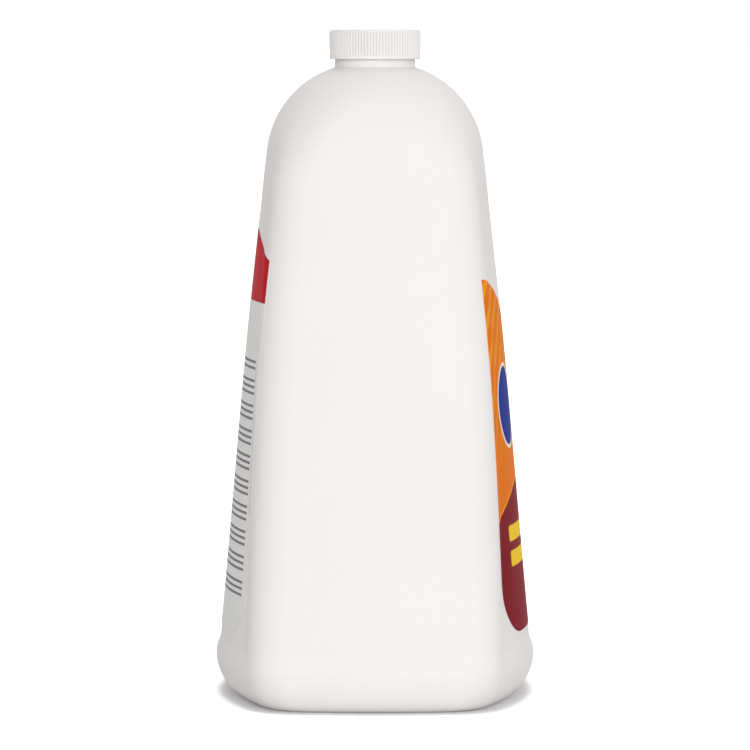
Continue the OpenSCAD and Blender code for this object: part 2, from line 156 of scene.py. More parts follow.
def close_shell(piece: bpy.types.Object, distance: float = 1e-6) -> None:
    """Merges doubled vertices and turns every face outwards.

    Args:
        piece: The shell to close.
        distance: Vertices nearer than this, in metres, become one.
    """
    with editing(piece):
        bpy.ops.mesh.select_all(action="SELECT")
        bpy.ops.mesh.remove_doubles(threshold=distance)
        bpy.ops.mesh.normals_make_consistent(inside=False)


def lay_sheet(name: str, points: np.ndarray) -> tuple[bpy.types.Object, np.ndarray]:
    """Adds a grid and lays each of its vertices at its place.

    Args:
        name: Name of the new object.
        points: Places in millimetres, by row, column and axis.

    Returns:
        The sheet, and the index of the vertex at each row and column.
    """
    rows, columns = points.shape[:2]
    bpy.ops.object.select_all(action="DESELECT")
    bpy.ops.mesh.primitive_grid_add(x_subdivisions=columns - 1, y_subdivisions=rows - 1, size=1)
    sheet = bpy.context.object
    sheet.name = name
    flat = coordinates(sheet).round(6)
    order = np.lexsort((flat[:, 0], flat[:, 1]))
    placed = np.empty_like(flat)
    placed[order] = points.reshape(-1, 3) * MM
    set_coordinates(sheet, placed)
    return sheet, order.reshape(rows, columns)


def turn_profile(name: str, profile: Sequence[tuple[float, float]], segments: int) -> bpy.types.Object:
    """Draws a closed round piece out of a circle, ring by ring.

    Args:
        name: Name of the new object.
        profile: Radius and height of each ring in millimetres, from the axis outside to the axis inside.
        segments: Number of steps round the axis.

    Returns:
        The turned piece.
    """
    radius, height = profile[0]
    bpy.ops.object.select_all(action="DESELECT")
    bpy.ops.mesh.primitive_circle_add(vertices=segments, radius=radius * MM, fill_type="TRIFAN")
    piece = bpy.context.object
    piece.name = name
    places = coordinates(piece)
    mark(piece, np.hypot(places[:, 0], places[:, 1]) > radius * MM / 2)
    with editing(piece):
        for step in profile[1:]:
            bpy.ops.mesh.extrude_region()
            scale = step[0] / radius
            bpy.ops.transform.resize(value=(scale, scale, 1), center_override=(0, 0, 0))
            bpy.ops.transform.translate(value=(0, 0, (step[1] - height) * MM))
            radius, height = step
        bpy.ops.mesh.merge(type="CENTER")
    places = coordinates(piece)
    places[:, 2] += profile[0][1] * MM
    set_coordinates(piece, places)
    close_shell(piece)
    return piece


def quarter_round(radius: float, height: float, size: float, start: float, end: float, count: int
                  ) -> list[tuple[float, float]]:
    """Points along a round edge of a turned profile.

    Args:
        radius: Radius of the edge's centre from the axis.
        height: Height of the edge's centre.
        size: Radius of the edge itself.
        start: Angle of the first point, in degrees from outwards.
        end: Angle of the last point.
        count: Number of steps between them.

    Returns:
        Radius and height of each point.
    """
    angles = np.radians(np.linspace(start, end, count + 1))
    return [(radius + size * math.cos(t), height + size * math.sin(t)) for t in angles]


@dataclass(frozen=True)
class Thread:
    """A single-start right-hand thread, as a rise above a round wall."""

    first_height: float
    pitch: float
    turns: float
    first_turn: float
    height: float
    crest_half: float
    root_half: float
    run_out: float = 0.09

    def rise(self, angle: np.ndarray, height: np.ndarray) -> np.ndarray:
        """How far the thread stands above its wall.

        Args:
            angle: Angle round the axis, in radians.
            height: Height in millimetres.

        Returns:
            The rise in millimetres, 0 clear of the thread.
        """
        turn = np.mod(angle, 2 * math.pi) / (2 * math.pi)
        lap = np.round((height - self.first_height) / self.pitch - turn)
        along = turn + lap - self.first_turn
        away = np.abs(height - self.first_height - self.pitch * (turn + lap))
        flank = ease((self.root_half - away) / (self.root_half - self.crest_half))
        ends = ease(along / self.run_out) * ease((self.turns - along) / self.run_out)
        return self.height * flank * ends


@dataclass(frozen=True)
class JugForm:
    """Outline formulas of the jug, as in the part's source, with panels a little more crowned."""

    body_height: float = 279.4
    body_width: float = 176.0
    body_depth: float = 138.4
    side_draft: float = math.radians(8.5)
    panel_draft: float = math.radians(5.5)
    panel_bow: float = 0.85
    bow_rise: float = 1.6
    shoulder_slope: float = math.radians(17.0)
    wall: float = 1.3
    corner_radius: float = 20.0
    panel_crown: float = 180.0
    side_crown: float = 275.0
    panel_recess: float = 1.1
    recess_top: float = 242.0
    recess_fade: float = 97.0
    foot_height: float = 27.0
    crest_height: float = 17.5
    foot_proud_depth: float = 2.25
    foot_proud_width: float = 1.5
    foot_round_depth: float = 15.0
    foot_round_width: float = 12.0
    stand_band: float = 6.0
    push_up: float = 4.5
    push_up_run: float = 40.0
    neck_radius: float = 17.95
    bore_radius: float = 16.1
    rim_height: float = 293.5
    grip_width: float = 26.0
    grip_depth: float = 35.0
    gap_radius: float = 12.5
    gap_bottom: float = 129.0
    gap_top: float = 214.0
    gap_land: float = 8.0
    gap_edge_round: float = 4.0
    gap_run: float = 22.0
    run_below: float = 0.6
    run_above: float = 0.84
    steep_wall: float = 2.4
    shoulder_start: float = 226.0
    follow_below: float = 70.0
    follow_above: float = 34.0
    follow_margin: float = 8.0
    crease_round: float = 1.6
    crease_share: float = 0.7
    corner_share: float = 0.55
    full_follow: float = 0.99

    @property
    def gap_low(self) -> float:
        """Height of the centre of the finger gap's lower round end."""
        return self.gap_bottom + self.gap_radius

    @property
    def gap_high(self) -> float:
        """Height of the centre of the finger gap's upper round end."""
        return self.gap_top - self.gap_radius

    @property
    def hollow_foot(self) -> float:
        """Lowest height that the hollow round the finger gap reaches."""
        return self.gap_low - (self.gap_radius + self.gap_run) / self.run_below

    def shoulder_arc(self, half: float, draft: float) -> tuple[float, float, float]:
        """Radius, distance from the axis and height of the centre of a shoulder's arc.

        Args:
            half: Half breadth of the body at the foot line.
            draft: Lean of the side below the shoulder.

        Returns:
            Radius of the arc, and its centre's distance from the axis and height.
        """
        rise = self.body_height - self.foot_height
        slope = self.shoulder_slope
        radius = (half - self.neck_radius - rise * math.tan(draft)) / (
            math.cos(draft) - math.sin(slope) + (math.sin(draft) - math.cos(slope)) * math.tan(draft))
        centre = self.neck_radius - radius * math.sin(slope)
        return radius, centre, self.body_height - radius * math.cos(slope)

    def outline(self, z: np.ndarray, half: float, draft: float, inset: float) -> np.ndarray:
        """Half breadth of the upright outline: a leaning side and the arc of the shoulder.

        Args:
            z: Heights in millimetres.
            half: Half breadth at the foot line.
            draft: Lean of the side.
            inset: Thickness taken off for the inside of the wall.

        Returns:
            The half breadth at each height.
        """
        radius, centre, middle = self.shoulder_arc(half, draft)
        side = half - (z - self.foot_height) * math.tan(draft) - inset / math.cos(draft)
        arc = centre + np.sqrt(np.maximum(0, (radius - inset) ** 2 - (z - middle) ** 2))
        return np.where(z <= middle + radius * math.sin(draft), side, arc)

    def foot(self, z: np.ndarray, draft: float, proud: float, depth: float, inset: float) -> np.ndarray:
        """What the foot adds to the outline: it stands out below its line and rounds in to the floor.

        Args:
            z: Heights in millimetres.
            draft: Lean of the side.
            proud: How far the foot stands out.
            depth: How far it rounds in.
            inset: Thickness taken off for the inside of the wall.

        Returns:
            What is added at each height, negative near the floor.
        """
        lean = np.minimum(0, z - self.foot_height) * math.tan(draft)
        swell = proud * (1 - ease((z - self.crest_height) / (self.foot_height - self.crest_height)))
        share = np.clip((self.crest_height - z) / (self.crest_height - inset), 0, 1)
        return lean + swell - depth * (1 - np.sqrt(1 - share ** 2))

    def half_width(self, z: np.ndarray, inset: float = 0.0) -> np.ndarray:
        """Half width of the body at a height, side to side.

        Args:
            z: Heights in millimetres.
            inset: Thickness taken off for the inside of the wall.

        Returns:
            The half width in millimetres.
        """
        z = np.asarray(z, float)
        return (self.outline(z, self.body_width / 2, self.side_draft, inset)
                + self.foot(z, self.side_draft, self.foot_proud_width, self.foot_round_width, inset))

    def half_depth(self, z: np.ndarray, inset: float = 0.0) -> np.ndarray:
        """Half depth of the body at a height, front to back.

        Args:
            z: Heights in millimetres.
            inset: Thickness taken off for the inside of the wall.

        Returns:
            The half depth in millimetres.
        """
        z = np.asarray(z, float)
        return (self.outline(z, self.body_depth / 2, self.panel_draft, inset) + self.bow(z)
                + self.foot(z, self.panel_draft, self.foot_proud_depth, self.foot_round_depth, inset))

    def bow(self, z: np.ndarray) -> np.ndarray:
        """How far the front and back panels swell out of a straight lean at a height."""
        share = np.clip((z - self.foot_height) / (self.recess_top - self.foot_height), 0, 1)
        return self.panel_bow * np.sin(math.pi * share ** self.bow_rise)

    def recess(self, z: np.ndarray) -> np.ndarray:
        """How deep the label panels lie below the corners at a height."""
        start = ease((z - self.crest_height) / (self.foot_height - self.crest_height))
        return self.panel_recess * start * np.clip((self.recess_top - z) / self.recess_fade, 0, 1)

    def roundness(self, z: np.ndarray) -> np.ndarray:
        """How far the section has turned from a rounded rectangle to a circle."""
        return ease((z - self.shoulder_start) / (self.body_height - self.shoulder_start))

    def follows_gap(self, z: np.ndarray) -> np.ndarray:
        """How far the columns of the mesh follow the finger gap.

        Args:
            z: Heights in millimetres.

        Returns:
            A share from 0 to 1.
        """
        below = ease((z - self.gap_bottom + self.follow_below) / (self.follow_below - self.follow_margin))
        above = ease((self.gap_top + self.follow_above - z) / (self.follow_above - self.follow_margin))
        return below * above

    def gap_middle(self, z: np.ndarray) -> np.ndarray:
        """Middle line of the finger gap, which runs parallel to the grip."""
        return self.half_width(z) - self.grip_width - self.gap_radius

    def kept_depth(self, x: np.ndarray, z: np.ndarray, inset: float) -> np.ndarray:
        """Share of its full depth that the body keeps: 0 at the gap and the grip, 1 past the hollow.

        Args:
            x: Places across in millimetres.
            z: Heights.
            inset: Thickness taken off for the inside of the wall.

        Returns:
            A share from 0 to 1.
        """
        across = np.minimum(0, x - self.gap_middle(z))
        upright = np.where(z < self.gap_low, (self.gap_low - z) * self.run_below,
                           np.maximum(0, z - self.gap_high) * self.run_above)
        away = np.maximum(np.hypot(across, upright), 1e-9)
        share = np.clip((away - self.gap_radius - self.steep_wall * inset) / self.gap_run, 0, 1)
        sideways = (across / away) ** 2
        return mix(ease(share), np.sqrt(1 - (1 - share) ** 2), sideways)

    def grip(self, x: np.ndarray, z: np.ndarray, inset: float) -> np.ndarray:
        """Half depth of the grip: round outside, and inside down to the flat land along the gap.

        Args:
            x: Places across in millimetres.
            z: Heights.
            inset: Thickness taken off for the inside of the wall.

        Returns:
            The half depth in millimetres.
        """
        centre = self.half_width(z) - self.grip_width / 2
        outer = x > centre
        share = np.minimum(1, np.abs(x - centre) / (self.grip_width / 2 - np.where(outer, inset, 0)))
        deep = self.grip_depth / 2 - inset
        round_part = np.sqrt(1 - share ** 2)
        return np.where(outer, deep * round_part, mix(self.gap_land - inset, deep, round_part))

    def gap_edge(self, x: np.ndarray, z: np.ndarray, inset: float) -> np.ndarray:
        """Share of the depth left by the rounded edge of the punched gap, 0 at the edge itself.

        Args:
            x: Places across in millimetres.
            z: Heights.
            inset: Thickness taken off for the inside of the wall.

        Returns:
            A share from 0 to 1.
        """
        upright = np.maximum(self.gap_low - z, np.maximum(0, z - self.gap_high))
        away = np.hypot(x - self.gap_middle(z), upright) - self.gap_radius - inset
        return np.sqrt(1 - (1 - np.clip(away / self.gap_edge_round, 0, 1)) ** 2)


def circles_meet(p: tuple, r: np.ndarray, q: tuple, s: np.ndarray) -> tuple[np.ndarray, np.ndarray]:
    """The meeting point of circles with centres p and q and radii r and s, left of the way from p to q.

    Args:
        p: Centre of the first circle.
        r: Its radius.
        q: Centre of the second circle.
        s: Its radius.

    Returns:
        The two coordinates of the point.
    """
    ex, ey = q[0] - p[0], q[1] - p[1]
    distance = np.hypot(ex, ey)
    ex, ey = ex / distance, ey / distance
    along = (distance ** 2 + r ** 2 - s ** 2) / (2 * distance)
    off = np.sqrt(np.maximum(0, r ** 2 - along ** 2))
    return p[0] + along * ex - off * ey, p[1] + along * ey + off * ex


class Section:
    """Level sections of the jug: two crowned panels, two crowned sides and four corner arcs."""

    def __init__(self, form: JugForm, half_width: np.ndarray, half_depth: np.ndarray, dip: np.ndarray,
                 inset: float) -> None:
        """Finds the arcs of a quarter.

        Args:
            form: Outline of the jug.
            half_width: Half width of each section.
            half_depth: Half depth of each section.
            dip: How deep the panel lies below the corners.
            inset: Thickness taken off for the inside of the wall.
        """
        self.form = form
        self.a = np.asarray(half_width, float)
        self.b = np.asarray(half_depth, float)
        self.dip = np.asarray(dip, float)
        small = form.corner_share * np.minimum(self.a, self.b)
        self.corner_size = np.minimum(form.corner_radius - inset, small)
        self.side_mid = self.a - form.side_crown
        self.corner = circles_meet((self.side_mid, 0 * self.a), form.side_crown - self.corner_size,
                                   (0 * self.a, self.b + self.dip - form.panel_crown),
                                   form.panel_crown - self.corner_size)
        self.crease = circles_meet((0 * self.a, self.b - form.panel_crown), form.panel_crown,
                                   self.corner, self.corner_size)
        self.side_end = np.arctan2(self.corner[1], self.corner[0] - self.side_mid)

    def depth(self, x: np.ndarray) -> np.ndarray:
        """Half depth of the sections at distances x from the middle, with a soft crease.

        Args:
            x: Distances from the middle in millimetres.

        Returns:
            The half depth in millimetres.
        """
        form = self.form
        crown = form.panel_crown
        panel = self.b - crown + np.sqrt(np.maximum(0, crown ** 2 - x ** 2))
        corner = self.corner[1] + np.sqrt(np.maximum(0, self.corner_size ** 2 - (x - self.corner[0]) ** 2))
        side = np.sqrt(np.maximum(0, form.side_crown ** 2 - (x - self.side_mid) ** 2))
        side_x = self.side_mid + form.side_crown * np.cos(self.side_end)
        blend = np.minimum(form.crease_round, form.crease_share * self.dip) + 1e-6
        swell = self.corner[0] * crown / (crown - self.corner_size)
        inner = np.where(x < swell, soft_max(panel, corner, blend), corner)
        inner = np.where(x < self.corner[0] - self.corner_size, panel, inner)
        return np.where(x <= side_x, inner, side)

    def cuts(self, steps: Sequence[int]) -> np.ndarray:
        """Distances from the middle at equal turns of the arcs, from the side in.

        Args:
            steps: Number of steps along the side crown, the corner and the panel crown.

        Returns:
            One row of distances for each section.
        """
        form = self.form
        corner_end = np.arctan2(self.crease[1] - self.corner[1], self.crease[0] - self.corner[0])
        panel_end = np.arccos(self.crease[0] / form.panel_crown)
        share = [np.arange(steps[0]) / steps[0], np.arange(steps[1]) / steps[1],
                 np.arange(steps[2] + 1) / steps[2]]
        side = self.side_mid[:, None] + form.side_crown * np.cos(self.side_end[:, None] * share[0])
        turn = mix(self.side_end[:, None], corner_end[:, None], share[1])
        corner = self.corner[0][:, None] + self.corner_size[:, None] * np.cos(turn)
        panel = form.panel_crown * np.cos(mix(panel_end[:, None], math.pi / 2, share[2]))
        return np.hstack([side, corner, panel])


@dataclass
class JugBody:
    """The blow-moulded bottle: body, foot, hollow grip with its finger gap, shoulder and neck."""

    form: JugForm = field(default_factory=JugForm)
    right_steps: tuple[int, int, int] = (8, 20, 26)
    left_steps: tuple[int, int, int] = (12, 16, 18)
    grip_columns: int = 26
    gap_spread: float = 1.6
    foot_rows: int = 14
    ledge_rows: int = 10
    plain_rows: int = 14
    hollow_rows: int = 20
    margin_rows: int = 12
    turn_rows: int = 12
    straight_rows: int = 16
    shoulder_rows: int = 30
    neck_rows: int = 56
    bore_rows: int = 6
    base_steps: tuple[int, int] = (12, 5)
    scar_shares: tuple[float, ...] = (0, 0.03, 0.06, 0.09, 0.12, 0.16, 0.3, 0.6)
    inside_fineness: float = 0.45
    neck_fillet: float = 1.0
    rim_round: float = 0.5
    scar_height: float = 0.5
    scar_half: float = 1.4
    thread_start: float = 2.0
    thread: Thread = field(default_factory=lambda: Thread(
        first_height=286.0, pitch=4.233, turns=1.3, first_turn=0.0, height=0.9, crest_half=0.35,
        root_half=0.95))

    def skin_depth(self, x: np.ndarray, z: np.ndarray, section: Section, inset: float) -> np.ndarray:
        """Half depth of the skin at x and z, hollow and grip included, without the gap's round edge.

        Args:
            x: Places across in millimetres.
            z: Heights.
            section: The level sections at these heights.
            inset: Thickness taken off for the inside of the wall.

        Returns:
            The half depth in millimetres.
        """
        form = self.form
        reach = np.abs(x)
        oval = section.b * np.sqrt(np.maximum(0, 1 - (reach / section.a) ** 2))
        full = mix(section.depth(reach), oval, form.roundness(z))
        return mix(np.minimum(full, form.grip(x, z, inset)), full, form.kept_depth(x, z, inset))

    def skin_at(self, x: np.ndarray, z: np.ndarray) -> np.ndarray:
        """Half depth of the outside at any place on a panel.

        Args:
            x: Places across in millimetres.
            z: Heights.

        Returns:
            The half depth in millimetres.
        """
        form = self.form
        section = Section(form, form.half_width(z), form.half_depth(z), form.recess(z), 0.0)
        return self.skin_depth(x, z, section, 0.0)

    def twin(self, columns: np.ndarray) -> np.ndarray:
        """Repeats the column where the finger gap will open, so that it has an edge on each side."""
        at = self.grip_columns
        return np.hstack([columns[:, :at + 1], columns[:, at:]])

    def turned_columns(self) -> np.ndarray:
        """Angles of the columns round the neck, from the grip side to the plain side.

        Returns:
            One angle for each column, in radians.
        """
        right = np.linspace(0, math.pi / 2, sum(self.right_steps) + 1)[None, :]
        left = np.linspace(math.pi / 2, math.pi, sum(self.left_steps) + 1)[None, 1:]
        return np.hstack([self.twin(right), left])[0]

    def gap_half(self, z: np.ndarray, inset: float) -> np.ndarray:
        """Half width of the finger gap at a height, 0 above and below it.

        Args:
            z: Heights in millimetres.
            inset: Thickness taken off for the inside of the wall.

        Returns:
            The half width in millimetres.
        """
        form = self.form
        upright = np.maximum(form.gap_low - z, np.maximum(0, z - form.gap_high))
        return np.sqrt(np.maximum(0, (form.gap_radius + inset) ** 2 - upright ** 2))

    def body_rows(self, z: np.ndarray, inset: float) -> tuple[np.ndarray, np.ndarray]:
        """Rows of the skin at the given heights.

        Args:
            z: Heights in millimetres.
            inset: Thickness taken off for the inside of the wall.

        Returns:
            The points by row, column and axis, and which rows cross the finger gap.
        """
        form = self.form
        least = form.bore_radius if inset else form.neck_radius
        a = np.maximum(form.half_width(z, inset), least)
        b = np.maximum(form.half_depth(z, inset), least)
        section = Section(form, a, b, form.recess(z), inset)
        middle, half = form.gap_middle(z), self.gap_half(z, inset)
        open_rows = (z > form.gap_bottom - inset - 1e-6) & (z < form.gap_top + inset + 1e-6)
        along = (1 - np.cos(np.pi * np.linspace(0, 1, self.grip_columns + 1))) / 2
        count = sum(self.right_steps) - self.grip_columns
        over = 1 - np.linspace(0, 1, count + 1) ** self.gap_spread
        follow = form.follows_gap(z)[:, None]
        grip = a[:, None] - (a - middle - half)[:, None] * along
        body = (middle - half)[:, None] * over
        right = mix(self.twin(section.cuts(self.right_steps)), np.hstack([grip, body]), follow)
        left = -section.cuts(self.left_steps)[:, -2::-1]
        turned = a[:, None] * np.cos(self.turned_columns())
        x = mix(np.hstack([right, left]), turned, form.roundness(z)[:, None])
        section = Section(form, a[:, None], b[:, None], form.recess(z)[:, None], inset)
        y = self.skin_depth(x, z[:, None], section, inset)
        y *= np.where(follow > form.full_follow, form.gap_edge(x, z[:, None], inset), 1)
        y[:, 0] = y[:, -1] = 0
        at = self.grip_columns
        y[open_rows, at:at + 2] = 0
        return np.stack([x, -y, np.broadcast_to(z[:, None], x.shape)], axis=2), open_rows

    def base_rows(self, inset: float, count: int) -> np.ndarray:
        """Rows of the underside, from its middle line out to the edge of the foot.

        Args:
            inset: Thickness taken off for the inside of the wall.
            count: Number of steps up the push-up.

        Returns:
            The points by row, column and axis.
        """
        form = self.form
        share = np.linspace(1, 0, count + 1)
        drawn = np.append(form.stand_band + form.push_up_run * share, 0)
        z = np.append(form.push_up * ease(share), 0) + inset
        foot = np.full_like(z, inset)
        a = form.half_width(foot, inset) - drawn
        b = form.half_depth(foot, inset) - drawn
        section = Section(form, a, b, 0 * a, inset)
        right = self.twin(section.cuts(self.right_steps))
        left = -section.cuts(self.left_steps)[:, -2::-1]
        x = np.hstack([right, left])
        y = Section(form, a[:, None], b[:, None], 0 * a[:, None], inset).depth(np.abs(x))
        y[:, 0] = y[:, -1] = 0
        rings = np.stack([x, -y, np.broadcast_to(z[:, None], x.shape)], axis=2)
        middle = np.repeat(rings[:1], len(self.scar_shares), axis=0)
        middle[:, :, 1] *= np.array(self.scar_shares)[:, None]
        if not inset:
            middle[:, :, 2] -= self.scar_height * ease(1 - np.abs(middle[:, :, 1]) / self.scar_half)
        return np.vstack([middle, rings])

    def heights(self, inset: float, fine: float) -> np.ndarray:
        """Heights of the skin's rows, close together where the form turns.

        Args:
            inset: Thickness taken off for the inside of the wall.
            fine: Share of the full number of rows.

        Returns:
            The heights from just above the floor to the end of the shoulder.
        """
        form = self.form
        half = form.gap_radius + inset
        turn = np.linspace(0, math.pi / 2, round(self.turn_rows * fine) + 1)
        low, high = form.gap_low - half, form.gap_high + half
        foot_turn = np.linspace(0, math.pi / 2, round(self.foot_rows * fine) + 1)
        foot = inset + (form.crest_height - inset) * (1 - np.cos(foot_turn))
        radius, centre, middle = form.shoulder_arc(form.body_depth / 2, form.panel_draft)
        reach = form.bore_radius if inset else (
            form.neck_radius + self.neck_fillet * (1 - math.sin(form.shoulder_slope)))
        last = math.acos((reach - centre) / (radius - inset))
        shoulder = middle + (radius - inset) * np.sin(
            np.linspace(form.panel_draft, last, round(self.shoulder_rows * fine)))
        return np.unique(np.concatenate([
            foot[1:],
            np.linspace(form.crest_height, form.foot_height, round(self.ledge_rows * fine)),
            np.linspace(form.foot_height, form.hollow_foot, round(self.plain_rows * fine)),
            np.linspace(form.hollow_foot, low - form.follow_margin, round(self.hollow_rows * fine)),
            np.linspace(low - form.follow_margin, low, round(self.margin_rows * fine)),
            form.gap_low - half * np.cos(turn),
            np.linspace(form.gap_low, form.gap_high, round(self.straight_rows * fine)),
            form.gap_high + half * np.sin(turn),
            np.linspace(high, high + form.follow_margin, round(self.margin_rows * fine)),
            np.linspace(high + form.follow_margin, shoulder[0], round(self.margin_rows * fine)),
            shoulder]).round(6))

    def ring_rows(self, rings: Sequence[tuple[float, float]]) -> np.ndarray:
        """Round rows of the neck, from radius and height.

        Args:
            rings: Radius and height of each row.

        Returns:
            The points by row, column and axis.
        """
        turn = self.turned_columns()
        return np.array([[[radius * math.cos(t), -radius * abs(math.sin(t)), height] for t in turn]
                         for radius, height in rings])

    def neck_rings(self) -> list[tuple[float, float]]:
        """Radius and height of the neck's rings: fillet, outer wall, rim and bore.

        Returns:
            Radius and height of each ring, in millimetres.
        """
        form = self.form
        tangent = self.neck_fillet * math.tan((math.pi / 2 - form.shoulder_slope) / 2)
        turns = np.linspace(math.pi / 2 - form.shoulder_slope, 0, 7)[1:]
        fillet = [(form.neck_radius + self.neck_fillet * (1 - math.cos(t)),
                   form.body_height + tangent - self.neck_fillet * math.sin(t)) for t in turns]
        first = form.body_height + tangent
        last = form.rim_height - self.rim_round
        wall = [(form.neck_radius, z) for z in np.linspace(first, last, self.neck_rows)[1:-1]]
        over = quarter_round(form.neck_radius - self.rim_round, last, self.rim_round, 0, 90, 4)
        into = quarter_round(form.bore_radius + self.rim_round, last, self.rim_round, 90, 180, 4)
        bore = [(form.bore_radius, z) for z in np.linspace(last, form.body_height, self.bore_rows)[1:]]
        return fillet + wall + over + into + bore

    def build(self) -> bpy.types.Object:
        """Models the whole bottle as one closed wall.

        Returns:
            The jug's body, with its thread.
        """
        outside, outer_open = self.body_rows(self.heights(0.0, 1.0), 0.0)
        wall = self.form.wall
        inside, inner_open = self.body_rows(self.heights(wall, self.inside_fineness), wall)
        base = self.base_rows(0.0, self.base_steps[0])
        inner_base = self.base_rows(wall, self.base_steps[1])
        neck = self.ring_rows(self.neck_rings())
        points = np.vstack([base, outside, neck, inside[::-1], inner_base[::-1]])
        crossing = np.concatenate([np.zeros(len(base), bool), outer_open, np.zeros(len(neck), bool),
                                   inner_open[::-1], np.zeros(len(inner_base), bool)])
        points[0, :, 1] = points[-1, :, 1] = 0
        jug, index = lay_sheet("jug_body", points)
        at = self.grip_columns
        doomed = np.zeros(len(jug.data.vertices), bool)
        doomed[index[crossing, at:at + 2].ravel()] = True
        mark(jug, doomed)
        with editing(jug):
            bpy.ops.mesh.delete(type="ONLY_FACE")
        self.sweep_loose(jug)
        mirror = jug.modifiers.new("halves", "MIRROR")
        mirror.use_axis = (False, True, False)
        mirror.merge_threshold = 5e-6
        bpy.ops.object.modifier_apply(modifier=mirror.name)
        close_shell(jug)
        self.cut_thread(jug)
        bpy.ops.object.shade_smooth()
        return jug

    @staticmethod
    def sweep_loose(jug: bpy.types.Object) -> None:
        """Merges doubled vertices and removes edges that no face uses.

        Args:
            jug: The bottle's open skin.
        """
        with editing(jug):
            bpy.ops.mesh.select_all(action="SELECT")
            bpy.ops.mesh.remove_doubles(threshold=1e-6)
            bpy.ops.mesh.delete_loose(use_verts=True, use_edges=True, use_faces=False)

    def cut_thread(self, jug: bpy.types.Object) -> None:
        """Raises the thread out of the neck's outer wall.

        Args:
            jug: The closed bottle.
        """
        form = self.form
        places = coordinates(jug) / MM
        radius = np.hypot(places[:, 0], places[:, 1])
        above_fillet = places[:, 2] > form.body_height + self.thread_start
        on_neck = above_fillet & (np.abs(radius - form.neck_radius) < ON_WALL)
        rise = self.thread.rise(np.arctan2(places[:, 1], places[:, 0]), places[:, 2])
        scale = np.where(on_neck, 1 + rise / np.maximum(radius, 1), 1)
        places[:, :2] *= scale[:, None]
        set_coordinates(jug, places * MM)


